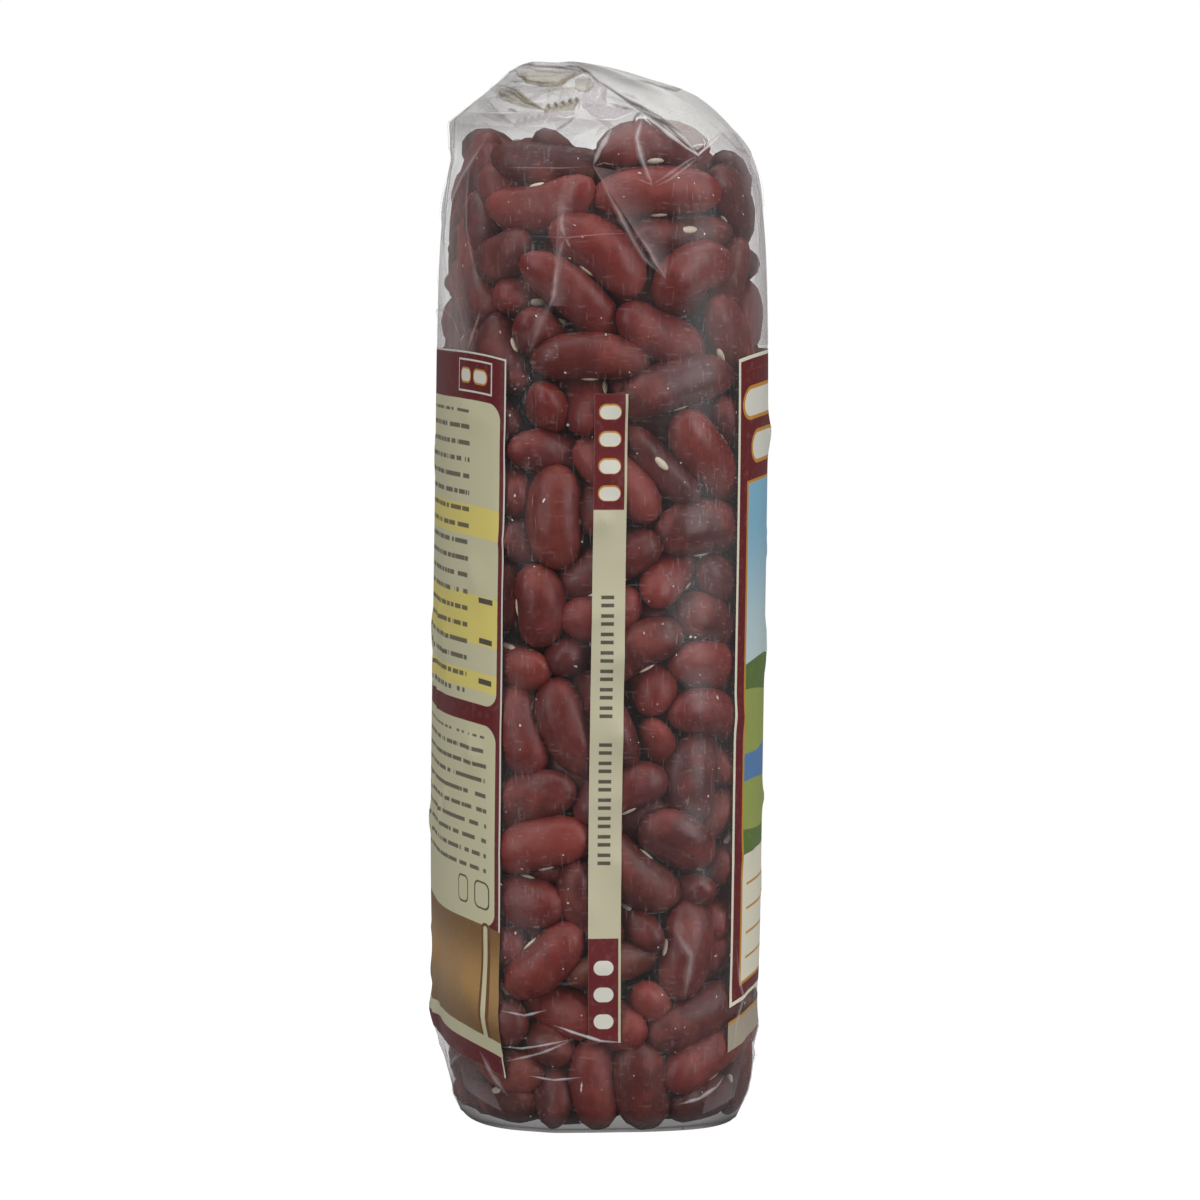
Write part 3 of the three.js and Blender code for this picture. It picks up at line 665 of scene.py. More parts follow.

# The lines along which the film is pulled sharp, on each narrow side and each panel: width,
# strength, colour, and the points that the line joins, across and up. The colours are painted
# light and shade of the folds: the dark and lilac ones painted shade, the white, pale and pink
# ones painted highlights, and the beige one the folded top's doubled film with painted shade.
DARK_FOLD_SHADE = rgb(76, 66, 62)
BEIGE_FOLD = rgb(142, 130, 104)
LILAC_FOLD_SHADE = rgb(166, 154, 158)
PALE_FOLD_LIGHT = rgb(226, 226, 220)
WHITE_FOLD_HIGHLIGHT = rgb(246, 242, 244)
PINK_FOLD_HIGHLIGHT = rgb(206, 178, 178)
SIDE_CREASES = [
    # The front fold of the top, and the small creases at its end
    (0.79, 0.95, DARK_FOLD_SHADE, [(3.3, 172.8), (0.7, 170.8), (-3.0, 168.2), (-7.4, 165.7),
        (-11.1, 162.6)]),
    (0.75, 0.95, DARK_FOLD_SHADE, [(0.5, 170.6), (-3.6, 167.4), (-8.4, 164.4), (-11.2, 161.4),
        (-13.3, 159.7)]),
    (1.0, 0.72, WHITE_FOLD_HIGHLIGHT, [(-3.9, 166.6), (-6.5, 164.7), (-9.3, 162.3), (-11.4, 160.6),
        (-13.3, 159.7)]),
    (0.79, 0.75, DARK_FOLD_SHADE, [(-3.6, 167.1), (-5.8, 165.7), (-7.9, 163.9), (-9.8, 161.9)]),
    (0.72, 0.81, WHITE_FOLD_HIGHLIGHT, [(-11.0, 160.8), (-13.3, 159.5), (-15.8, 161.7), (-18.4, 164.1)]),
    (0.45, 0.72, WHITE_FOLD_HIGHLIGHT, [(-11.7, 160.5), (-13.1, 161.1), (-14.9, 161.3)]),
    (0.39, 0.72, WHITE_FOLD_HIGHLIGHT, [(-13.8, 162.5), (-14.4, 161.5), (-14.2, 160.3)]),
    (0.39, 0.72, WHITE_FOLD_HIGHLIGHT, [(-15.0, 162.7), (-15.0, 161.7), (-14.4, 160.7)]),
    # The soft creases and the V fold over the upper beans
    (0.7, 0.4, PINK_FOLD_HIGHLIGHT, [(-13.2, 159.5), (-9.9, 157.4), (-7.4, 155.7), (-5.8, 154.7)]),
    (0.7, 0.4, PINK_FOLD_HIGHLIGHT, [(-13.3, 159.0), (-10.3, 156.7), (-8.1, 155.2), (-6.1, 154.4)]),
    (0.34, 0.34, PINK_FOLD_HIGHLIGHT, [(-6.1, 154.4), (-4.8, 154.9), (-3.7, 155.4), (-2.6, 155.7)]),
    (0.34, 0.34, PINK_FOLD_HIGHLIGHT, [(18.6, 157.4), (14.0, 157.4), (9.2, 157.3), (3.9, 157.6)]),
    (1.2, 0.41, WHITE_FOLD_HIGHLIGHT, [(3.9, 157.6), (2.9, 160.1), (1.6, 162.1), (0.5, 164.1)]),
    (1.5, 0.56, PINK_FOLD_HIGHLIGHT, [(3.9, 157.6), (2.6, 155.5), (0.9, 152.0), (-0.9, 148.7),
        (-2.6, 145.4), (-4.4, 142.6), (-7.7, 139.4)]),
    (1.5, 0.56, PINK_FOLD_HIGHLIGHT, [(-3.6, 146.3), (-5.1, 144.1), (-6.4, 141.5), (-7.7, 139.5)]),
    (0.7, 0.3, DARK_FOLD_SHADE, [(-3.0, 145.7), (-4.2, 143.4), (-5.9, 141.2), (-7.3, 139.7)]),
    (0.34, 0.34, PINK_FOLD_HIGHLIGHT, [(3.9, 157.6), (2.1, 158.1), (0.2, 157.8)]),
    (4.2, 0.22, PINK_FOLD_HIGHLIGHT, [(6.0, 155.4), (7.7, 153.8), (9.0, 151.0), (9.2, 148.3), (8.5, 146.0)]),
    (1.0, 0.4, PINK_FOLD_HIGHLIGHT, [(8.8, 150.5), (9.2, 148.3), (8.5, 146.0)]),
    (1.7, 0.36, PINK_FOLD_HIGHLIGHT, [(8.5, 146.3), (9.5, 143.4), (10.0, 139.9), (10.3, 137.3),
        (11.1, 134.8)]),
    (1.5, 0.56, PINK_FOLD_HIGHLIGHT, [(10.0, 140.8), (10.2, 138.4), (10.5, 136.3), (11.1, 134.7)]),
    (3.0, 0.22, PINK_FOLD_HIGHLIGHT, [(10.7, 136.0), (11.8, 133.6), (12.9, 131.1), (14.2, 127.6)]),
    (0.34, 0.34, PINK_FOLD_HIGHLIGHT, [(14.4, 146.3), (10.9, 146.2), (8.5, 146.0), (5.8, 146.3),
        (2.1, 146.6), (-2.5, 146.8)]),
    (0.7, 0.4, PINK_FOLD_HIGHLIGHT, [(8.5, 146.0), (8.1, 145.2), (7.7, 144.4)]),
    (1.5, 0.56, PINK_FOLD_HIGHLIGHT, [(21.7, 134.5), (22.4, 132.1), (23.2, 129.5), (23.9, 126.8)]),
    (1.5, 0.56, PINK_FOLD_HIGHLIGHT, [(27.4, 135.7), (25.6, 133.0), (24.8, 130.1), (24.3, 127.8)]),
    (2.4, 0.26, PINK_FOLD_HIGHLIGHT, [(26.5, 142.3), (25.7, 138.5), (24.7, 134.4), (23.6, 128.6)]),
    (1.6, 0.45, WHITE_FOLD_HIGHLIGHT, [(-4.5, 165.6), (-3.3, 162.2), (-3.8, 159.4), (-4.8, 156.7),
        (-5.6, 154.7)]),
    # The folded top
    (0.79, 0.94, DARK_FOLD_SHADE, [(-2.8, 164.7), (-3.5, 165.9), (-4.2, 166.4), (-4.8, 165.9)]),
    (0.59, 0.72, WHITE_FOLD_HIGHLIGHT, [(-3.2, 164.6), (-3.8, 165.6), (-4.8, 165.6), (-6.0, 164.2)]),
    (0.45, 0.68, WHITE_FOLD_HIGHLIGHT, [(10.2, 165.9), (8.0, 165.5), (6.6, 165.9), (5.6, 166.5)]),
    (0.45, 0.72, WHITE_FOLD_HIGHLIGHT, [(5.1, 166.5), (3.8, 165.7), (2.1, 165.2), (0.0, 165.2),
        (-2.1, 166.1), (-3.7, 166.7)]),
    (0.75, 0.62, DARK_FOLD_SHADE, [(0.9, 168.1), (-1.3, 167.4), (-3.6, 166.9)]),
    (0.75, 0.69, DARK_FOLD_SHADE, [(6.1, 166.0), (7.8, 164.7), (10.2, 163.2)]),
    (0.45, 0.54, WHITE_FOLD_HIGHLIGHT, [(24.2, 167.3), (21.7, 166.7), (18.5, 166.4), (13.6, 166.3)]),
    (0.88, 0.94, BEIGE_FOLD, [(14.8, 175.4), (14.7, 174.5), (14.9, 172.9), (13.8, 171.7),
        (11.9, 171.0), (10.0, 170.9)]),
    (1.4, 0.95, BEIGE_FOLD, [(12.6, 171.0), (10.0, 170.9), (8.6, 171.4), (7.4, 172.2),
        (5.8, 173.0), (4.1, 173.3)]),
    (0.75, 0.88, DARK_FOLD_SHADE, [(14.8, 175.2), (12.3, 174.2), (8.0, 174.0), (5.4, 173.7),
        (4.1, 173.0)]),
    (0.79, 0.69, BEIGE_FOLD, [(14.3, 174.3), (11.8, 173.4), (8.5, 173.2), (6.1, 173.3)]),
    (0.75, 0.75, DARK_FOLD_SHADE, [(14.9, 172.9), (13.8, 171.9), (11.9, 171.3), (9.6, 171.5)]),
    (0.75, 0.94, DARK_FOLD_SHADE, [(8.2, 174.3), (5.0, 174.2), (3.4, 173.2), (2.4, 172.0), (1.8, 170.9)]),
    (0.52, 0.63, WHITE_FOLD_HIGHLIGHT, [(6.6, 171.1), (6.0, 172.3), (4.6, 172.8), (3.3, 172.3),
        (2.9, 171.3)]),
    (0.88, 0.75, BEIGE_FOLD, [(6.5, 170.9), (5.7, 170.1), (4.3, 170.1), (3.3, 170.8),
        (2.9, 171.6)]),
    (0.88, 0.95, BEIGE_FOLD, [(18.1, 171.7), (16.4, 170.8), (15.3, 169.9), (13.8, 168.5),
        (12.1, 167.2), (11.0, 166.7)]),
    (0.75, 0.75, DARK_FOLD_SHADE, [(17.5, 170.6), (15.9, 169.6), (14.2, 168.2), (11.6, 166.8)]),
    (0.75, 0.75, BEIGE_FOLD, [(18.2, 169.0), (16.4, 168.2), (14.4, 167.5), (12.1, 166.8)]),
    (0.75, 0.75, DARK_FOLD_SHADE, [(17.2, 166.9), (16.4, 167.0), (15.5, 166.5)]),
    (0.78, 0.36, WHITE_FOLD_HIGHLIGHT, [(1.8, 171.3), (2.3, 169.4), (3.2, 167.9)]),
    (0.65, 0.5, WHITE_FOLD_HIGHLIGHT, [(4.9, 168.7), (5.5, 167.7), (5.3, 166.5)]),
    (0.79, 0.69, LILAC_FOLD_SHADE, [(1.0, 170.6), (1.5, 169.3), (1.2, 168.1)]),
    (0.79, 0.75, DARK_FOLD_SHADE, [(-3.2, 172.1), (-6.7, 171.1), (-9.9, 170.1), (-11.9, 170.8)]),
    (0.75, 0.5, LILAC_FOLD_SHADE, [(-1.2, 169.9), (-3.4, 169.1), (-4.3, 168.4)]),
    # The painted shade along the edges of the zigzag's teeth
    (0.96, 0.95, DARK_FOLD_SHADE, [(10.9, 168.0), (10.5, 167.0)]),
    (0.96, 0.95, DARK_FOLD_SHADE, [(9.7, 168.3), (9.3, 167.3)]),
    (0.96, 0.95, DARK_FOLD_SHADE, [(8.5, 168.5), (8.1, 167.5)]),
    (0.96, 0.95, DARK_FOLD_SHADE, [(7.3, 168.8), (7.0, 167.8)]),
    (0.96, 0.95, DARK_FOLD_SHADE, [(6.2, 169.1), (5.8, 168.1)]),
    # The foot of the bag
    (0.72, 0.64, WHITE_FOLD_HIGHLIGHT, [(10.5, 18.1), (7.3, 16.9), (2.9, 15.5), (-0.6, 15.2)]),
    (0.64, 0.48, WHITE_FOLD_HIGHLIGHT, [(18.5, 20.2), (14.9, 19.6), (11.4, 20.6)]),
    (0.56, 0.48, WHITE_FOLD_HIGHLIGHT, [(18.5, 14.2), (15.3, 14.1), (7.3, 15.8)]),
    (0.64, 0.4, WHITE_FOLD_HIGHLIGHT, [(18.5, 11.6), (12.5, 13.4), (7.3, 15.7)]),
    (0.56, 0.48, WHITE_FOLD_HIGHLIGHT, [(14.6, 9.6), (10.2, 9.0), (5.8, 9.5)]),
    (0.48, 0.72, WHITE_FOLD_HIGHLIGHT, [(5.8, 8.9), (5.9, 6.8)]),
    (0.96, 0.48, WHITE_FOLD_HIGHLIGHT, [(-10.0, 4.6), (-13.6, 5.4), (-16.4, 7.0), (-17.8, 8.6)]),
    (1.9, 0.36, WHITE_FOLD_HIGHLIGHT, [(22.0, 13.0), (20.0, 9.0), (17.5, 6.0)]),
    (1.6, 0.28, WHITE_FOLD_HIGHLIGHT, [(-20.0, 30.0), (-21.0, 22.0), (-19.0, 12.0)]),
    (2.4, 0.22, WHITE_FOLD_HIGHLIGHT, [(-9.0, 34.0), (-12.0, 29.0), (-11.0, 22.0)]),
]
PANEL_CREASES = [
    (1.5, 0.34, WHITE_FOLD_HIGHLIGHT, [(-34.0, 163.0), (-27.0, 158.0), (-16.0, 152.0), (-6.0, 149.0)]),
    (1.5, 0.34, PINK_FOLD_HIGHLIGHT, [(-27.0, 158.0), (-30.0, 148.0), (-36.0, 138.0)]),
    (1.5, 0.34, PINK_FOLD_HIGHLIGHT, [(30.0, 165.0), (22.0, 156.0), (10.0, 150.0)]),
    (1.5, 0.34, PINK_FOLD_HIGHLIGHT, [(22.0, 156.0), (27.0, 147.0), (34.0, 136.0)]),
    (0.9, 0.6, LILAC_FOLD_SHADE, [(-8.0, 168.0), (-2.0, 158.0), (-4.0, 146.0)]),
    (0.9, 0.5, LILAC_FOLD_SHADE, [(14.0, 170.0), (6.0, 162.0), (-8.0, 160.0)]),
    (1.5, 0.34, WHITE_FOLD_HIGHLIGHT, [(-30.0, 12.0), (-20.0, 9.0), (-10.0, 9.5)]),
    (1.5, 0.34, WHITE_FOLD_HIGHLIGHT, [(32.0, 9.0), (22.0, 11.0), (12.0, 8.0)]),
]

# The wider folds of the narrow sides, as patches of painted light and shade: colour, and four
# corners, each across, up and how strong
SIDE_FOLDS = [
    (LILAC_FOLD_SHADE, [(25.4, 167.0, 0.5), (5.9, 166.4, 0.5), (9.4, 163.4, 0.15), (24.4, 163.6, 0.1)]),
    (BEIGE_FOLD, [(19.2, 171.3, 0.05), (16.0, 170.6, 0.55), (11.2, 166.7, 0.75),
        (17.9, 168.5, 0.35)]),
    (LILAC_FOLD_SHADE, [(14.8, 175.2, 0.6), (4.0, 173.5, 0.6), (5.4, 172.9, 0.05), (14.6, 174.0, 0.05)]),
    (BEIGE_FOLD, [(14.7, 173.6, 0.1), (5.0, 172.9, 0.15), (9.3, 170.9, 0.75), (14.5, 171.9, 0.65)]),
    (BEIGE_FOLD, [(6.2, 172.1, 0.55), (3.2, 172.3, 0.5), (3.7, 170.3, 0.3), (6.2, 170.2, 0.35)]),
    (BEIGE_FOLD, [(11.0, 170.5, 0.25), (6.0, 170.7, 0.5), (6.6, 169.1, 0.1), (10.5, 169.3, 0.05)]),
    (BEIGE_FOLD, [(11.6, 167.0, 0.55), (5.8, 168.1, 0.6), (6.6, 166.9, 0.45), (11.5, 166.3, 0.45)]),
    (LILAC_FOLD_SHADE, [(3.5, 172.8, 0.4), (0.8, 170.8, 0.6), (1.2, 167.7, 0.55), (6.0, 167.2, 0.65)]),
    (LILAC_FOLD_SHADE, [(4.8, 168.1, 0.35), (-3.7, 166.9, 0.55), (0.4, 165.2, 0.55), (4.0, 165.7, 0.55)]),
    (LILAC_FOLD_SHADE, [(6.5, 165.5, 0.6), (0.5, 165.1, 0.6), (2.0, 163.6, 0.05), (7.4, 164.0, 0.15)]),
    (PALE_FOLD_LIGHT, [(2.5, 172.6, 0.3), (-6.1, 171.6, 0.3), (-18.6, 164.3, 0.35),
        (-13.2, 160.3, 0.35)]),
    (PALE_FOLD_LIGHT, [(0.5, 170.6, 0.4), (-4.2, 167.1, 0.5), (-13.3, 159.7, 0.5), (-11.1, 162.6, 0.4)]),
    (LILAC_FOLD_SHADE, [(-8.1, 170.9, 0.1), (-12.0, 171.1, 0.6), (-10.7, 170.0, 0.4),
        (-8.3, 170.2, 0.1)]),
    (PALE_FOLD_LIGHT, [(27.3, 142.3, 0.4), (24.6, 142.3, 0.0), (22.6, 127.5, 0.05), (27.4, 127.4, 0.5)]),
    (LILAC_FOLD_SHADE, [(25.7, 167.1, 0.55), (23.8, 167.1, 0.25), (25.5, 152.6, 0.05),
        (27.2, 152.6, 0.55)]),
    (PALE_FOLD_LIGHT, [(27.1, 155.0, 0.55), (25.8, 155.1, 0.0), (26.0, 142.3, 0.0), (27.5, 142.3, 0.6)]),
    (LILAC_FOLD_SHADE, [(-18.6, 163.8, 0.1), (-20.7, 163.2, 0.5), (-27.0, 151.0, 0.65),
        (-22.5, 150.7, 0.05)]),
    (LILAC_FOLD_SHADE, [(-22.5, 150.7, 0.05), (-27.0, 151.0, 0.65), (-27.4, 128.6, 0.75),
        (-22.5, 128.6, 0.05)]),
    (PALE_FOLD_LIGHT, [(-24.8, 151.6, 0.0), (-27.1, 151.8, 0.5), (-27.4, 128.6, 0.5),
        (-24.8, 128.6, 0.0)]),
    (BEIGE_FOLD, [(11.6, 166.8, 0.75), (10.9, 168.0, 0.9), (10.5, 167.0, 0.8), (11.1, 166.4, 0.6)]),
    (BEIGE_FOLD, [(10.5, 167.1, 0.75), (9.7, 168.3, 0.9), (9.3, 167.3, 0.8), (9.9, 166.7, 0.6)]),
    (BEIGE_FOLD, [(9.3, 167.4, 0.75), (8.5, 168.5, 0.9), (8.2, 167.5, 0.8), (8.8, 166.9, 0.6)]),
    (BEIGE_FOLD, [(8.2, 167.6, 0.75), (7.3, 168.8, 0.9), (7.0, 167.8, 0.8), (7.6, 167.2, 0.6)]),
    (BEIGE_FOLD, [(7.0, 167.9, 0.75), (6.2, 169.1, 0.9), (5.8, 168.1, 0.8), (6.4, 167.5, 0.6)]),
    (PINK_FOLD_HIGHLIGHT, [(3.9, 157.6, 0.2), (-7.7, 139.5, 0.22), (-8.8, 144.5, 0.0), (-3.6, 156.3, 0.0)]),
    (PINK_FOLD_HIGHLIGHT, [(9.6, 153.0, 0.08), (10.6, 135.0, 0.22), (8.0, 135.0, 0.0), (6.8, 153.0, 0.0)]),
    (LILAC_FOLD_SHADE, [(26.0, 14.0, 0.0), (21.5, 10.0, 0.0), (18.5, 3.0, 0.4), (24.0, 5.5, 0.55)]),
    (LILAC_FOLD_SHADE, [(-22.0, 12.0, 0.0), (-15.5, 9.5, 0.0), (-14.5, 2.5, 0.3), (-20.5, 4.5, 0.45)]),
]


def crease_nearness(across, height, creases):
    """How near points are to the nearest of some creases, from 0 to 1 on the crease itself."""
    nearness = np.zeros_like(across)
    for *_, path in creases:
        for start, end in zip(path, path[1:]):
            run = np.subtract(end, start)
            along = ((across - start[0]) * run[0] + (height - start[1]) * run[1]) / (run @ run)
            along = np.clip(along, 0, 1)
            off = np.hypot(across - start[0] - along * run[0], height - start[1] - along * run[1])
            nearness = np.maximum(nearness, np.clip(1 - off / CREASE_REACH, 0, 1))
    return nearness


side_nearness = crease_nearness(taut[..., 1], height_grid, SIDE_CREASES) * on_side
panel_nearness = crease_nearness(taut[..., 0], height_grid, PANEL_CREASES) * ~on_side
film_rise = CREASE_RISE * (side_nearness + panel_nearness)
film_grid = taut + outward_grid * (film_rise - film_depth)[..., None]

# Where no bean stands close behind the film it is slack and crumpled, so it looks milky
free_film = np.zeros(height_grid.shape)
for i in np.nonzero(tube_heights > FREE_FROM)[0]:
    for j in range(AROUND):
        inward = Vector(-outward_grid[i, j])
        hit = bean_tree.ray_cast(Vector(taut[i, j]), inward, FREE_REACH)
        free_film[i, j] = hit[0] is None
for _ in range(FREE_BLUR_ROUNDS):
    free_film = (np.roll(free_film, 1, 1) + np.roll(free_film, -1, 1) + 2 * free_film) / 4
    free_film[1:-1] = (free_film[2:] + free_film[:-2] + 2 * free_film[1:-1]) / 4

# In front of the top's front fold the slack film is painted paler, as painted light on that facet
FOLD_LINE_HEIGHTS = [156.0, 159.6, 166.8, 170.5, 174.0]
FOLD_LINE_Y = [-17.0, -13.2, -4.3, 1.9, 5.0]
fold_line = np.interp(height_grid, FOLD_LINE_HEIGHTS, FOLD_LINE_Y)
lit_facet_film = np.clip((fold_line - taut[..., 1]) / PALE_BLEND + 0.5, 0, 1) * free_film


def film_surface(share, height, depth):
    """Points on the relaxed film at shares of the girth and heights, moved in by a depth."""
    column = np.mod(share, 1.0) * AROUND
    row = np.interp(height, tube_heights, np.arange(len(tube_heights)))
    left = np.floor(column).astype(int)
    low = np.minimum(np.floor(row).astype(int), len(tube_heights) - 2)
    s = (column - left)[..., None]
    t = (row - low)[..., None]
    right = (left + 1) % AROUND
    left = left % AROUND
    points = (film_grid[low, left] * (1 - s) + film_grid[low, right] * s) * (1 - t)
    points = points + (film_grid[low + 1, left] * (1 - s) + film_grid[low + 1, right] * s) * t
    facing = outward_grid[low, left] * (1 - s) + outward_grid[low, right] * s
    return points - facing * depth


film_points = np.zeros((len(ball), 3))

# What the film's material reads at each point: slack, in front of the fold where it is painted
# lighter, by the floor where a shadow is painted on it, on a bean
FILM_LAYERS = ("free_film", "lit_facet_film", "painted_base_shadow", "touching")
film_layers = {label: np.zeros(len(ball)) for label in FILM_LAYERS}
base_edge = film_grid[0]
cap_edge = film_grid[-1]
ridge_middle = np.array([0.0, (RIDGE_FRONT_Y + RIDGE_BACK_Y) / 2, BAG_HEIGHT - RIDGE_SAG])
for v in range(len(ball)):
    ring = ring_of[v]
    column = column_of[v]
    if ring < BASE_RINGS:
        share = ring / BASE_RINGS
        film_points[v] = base_edge[column] * [share, share, 0]
        film_points[v, 2] = BASE_ARCH * (1 - share ** 2) * min(1, 6 * (1 - share))
        # The base sheet is painted with the shadow under the bag
        film_layers["painted_base_shadow"][v] = 1
    elif ring <= BASE_RINGS + WALL_RINGS + CROWN_RINGS:
        row = ring - BASE_RINGS
        film_points[v] = film_grid[row, column]
        film_layers["free_film"][v] = free_film[row, column]
        film_layers["lit_facet_film"][v] = lit_facet_film[row, column]
        film_layers["touching"][v] = touching[row, column]
        film_layers["painted_base_shadow"][v] = max(0, 1 - film_points[v, 2] / BASE_SHADOW_REACH)
    else:
        film_layers["free_film"][v] = 1
        share = (ring_total - ring) / CAP_RINGS
        from_middle = cap_edge[column] - ridge_middle
        film_points[v] = ridge_middle + from_middle * [share, share, share ** 2]
film = shaped_mesh("clear_film", film_points, ball_faces)
for label, values in film_layers.items():
    add_layer(film, label, values)


def new_group(name, inputs, outputs):
    """An empty shader node group with named inputs and outputs."""
    group = bpy.data.node_groups.new(name, "ShaderNodeTree")
    for label, kind in inputs:
        group.interface.new_socket(label, in_out="INPUT", socket_type=kind)
    for label, kind in outputs:
        group.interface.new_socket(label, in_out="OUTPUT", socket_type=kind)
    nodes = Nodes(group)
    return group, nodes, nodes.add("NodeGroupInput").outputs, nodes.add("NodeGroupOutput").inputs


SCRATCHES = (((1.0, 1.0, 0.14), 2600.0), ((1.0, 0.14, 1.0), 2300.0))
DUST_SCALE = 1300.0
STREAK_STRETCH = (1.0, 1.0, 0.12)
STREAK_SCALE = 210.0
CLOUD_SCALE = 42.0
haze_and_sheen_group, nodes, given, result = new_group(
    "film haze and sheen",
    [("Place", "NodeSocketVector"), ("Streaks", "NodeSocketFloat"), ("Clouds", "NodeSocketFloat")],
    [("Mask", "NodeSocketFloat"), ("Scratches", "NodeSocketFloat"), ("Dust", "NodeSocketFloat")],
)
scratches = []
for stretch, fineness in SCRATCHES:
    scratch = nodes.noise(nodes.stretched(given["Place"], stretch), fineness, 1.0)
    scratches.append(nodes.fade(scratch, 0.64, 0.72))
nodes.feed(result["Scratches"], nodes.math("MAXIMUM", *scratches))
dust = nodes.noise(given["Place"], DUST_SCALE, 0.0)
nodes.feed(result["Dust"], nodes.fade(dust, 0.83, 0.87))
# The streaks and clouds are partly the film's own haze and partly painted highlight streaks
streaks = nodes.noise(nodes.stretched(given["Place"], STREAK_STRETCH), STREAK_SCALE, 4.0, 0.6)
clouds = nodes.noise(given["Place"], CLOUD_SCALE, 3.0, 0.55)
streaks = nodes.math("MULTIPLY", nodes.fade(streaks, 0.42, 0.75), given["Streaks"])
clouds = nodes.math("MULTIPLY", nodes.fade(clouds, 0.35, 0.75), given["Clouds"])
nodes.feed(result["Mask"], nodes.math("ADD", streaks, clouds, clamp=True))

# How much of the film shows: everywhere, off the beans, towards the front panel as a painted sheen,
# where it is slack, in front of the top's fold as painted light, under the bag as a painted shadow,
# and at its rim partly as a painted reflection
FILM_ALPHA = 0.014
VEIL_ALPHA = 0.024
FRONT_SHEEN_ALPHA = 0.04
MILKY_ALPHA = 0.30
LIT_FACET_ALPHA = 0.04
BASE_SHADOW_ALPHA = 0.4
RIM_ALPHA = 0.45
SLACK_RIM_LOSS = -0.32
RIM_SHARPNESS = 3.0
HAZE_AND_SHEEN_ALPHA = 0.04
SCRATCH_ALPHA = 0.07
DUST_ALPHA = 0.5
HAZE_SHARE = 0.6
TOP_FROM_TO = (0.124, 0.142)
FRONT_FROM_TO = (0.004, -0.02)
PANEL_FROM_TO = (0.044, 0.037)
TAUT_GREY = rgb(136, 124, 124)
HAZE_AND_SHEEN_GREY = rgb(180, 170, 172)
SCRATCH_GREY = rgb(190, 182, 182)
DUST_WHITE = rgb(226, 218, 212)
RIM_REFLECTION_WHITE = rgb(214, 210, 208)
SLACK_GREY = rgb(146, 143, 139)
SLACK_LIT_PALE = rgb(184, 184, 180)
# Painted shadow: the film under the bag and at the foot of its walls is darkened brown
BASE_SHADOW_BROWN = rgb(66, 52, 50)
SIDE_ROUGHNESS = 0.16
PANEL_ROUGHER = 0.26
HAZE_ROUGHER = 0.18
FILM_IOR = 2.6
WRINKLE_SCALE = 150.0
WRINKLE_HEIGHT = 0.0003
material, nodes, shader = new_material("clear film")
where = nodes.object_coordinates()
axes = nodes.axes(where)
slack = nodes.layer("free_film")
pale = nodes.layer("lit_facet_film")
under = nodes.layer("painted_base_shadow")
touch = nodes.layer("touching")
haze = nodes.add("ShaderNodeGroup", node_tree=haze_and_sheen_group)
nodes.feed(haze.inputs["Place"], where)
haze.inputs["Streaks"].default_value = HAZE_SHARE
haze.inputs["Clouds"].default_value = HAZE_SHARE
haze_and_sheen_mask, scratched, dusty = (haze.outputs[label] for label in ("Mask", "Scratches", "Dust"))
grazing = nodes.add("ShaderNodeLayerWeight")
grazing.inputs["Blend"].default_value = 0.5
grazing = nodes.math("POWER", grazing.outputs["Facing"], RIM_SHARPNESS)
near_top = nodes.fade(axes["Z"], *TOP_FROM_TO)
# Painted sheen: more of the film shows towards the front panel
front_half_sheen = nodes.fade(axes["Y"], *FRONT_FROM_TO)
veil = nodes.fade(touch, 0.35, 0.65, 1.0, 0.0)
milky = nodes.math("MULTIPLY", slack, nodes.math("MULTIPLY_ADD", haze_and_sheen_mask, 0.2, 0.9))
alpha = nodes.math("MULTIPLY_ADD", haze_and_sheen_mask, HAZE_AND_SHEEN_ALPHA, FILM_ALPHA)
for mask, share in (
    # painted sheen towards the front panel
    (front_half_sheen, FRONT_SHEEN_ALPHA),
    (veil, VEIL_ALPHA),
    (scratched, SCRATCH_ALPHA),
    (dusty, DUST_ALPHA),
    (milky, MILKY_ALPHA),
    # painted light on the facet in front of the top's fold
    (pale, LIT_FACET_ALPHA),
    # painted shadow under the bag
    (under, BASE_SHADOW_ALPHA),
):
    alpha = nodes.math("MULTIPLY_ADD", mask, share, alpha)
# At grazing angles more of the film shows, partly from the longer path through it and partly as a
# painted reflection of the surround
rim = nodes.math("MULTIPLY", grazing, nodes.math("MULTIPLY_ADD", slack, SLACK_RIM_LOSS, RIM_ALPHA))
alpha = nodes.math("ADD", rim, alpha, clamp=True)
nodes.feed(shader.inputs["Alpha"], alpha)
# Haze and painted sheen: the film is paler in the streaks and clouds
taut_colour = nodes.mix(haze_and_sheen_mask, TAUT_GREY, HAZE_AND_SHEEN_GREY)
taut_colour = nodes.mix(scratched, taut_colour, SCRATCH_GREY)
taut_colour = nodes.mix(dusty, taut_colour, DUST_WHITE)
# Painted reflection: near the top the film's rim is whitened
taut_colour = nodes.mix(nodes.math("MULTIPLY", grazing, near_top), taut_colour, RIM_REFLECTION_WHITE)
# Painted light: the slack film is paler in front of the top's fold
slack_colour = nodes.mix(pale, SLACK_GREY, SLACK_LIT_PALE)
film_colour = nodes.mix(slack, taut_colour, slack_colour)
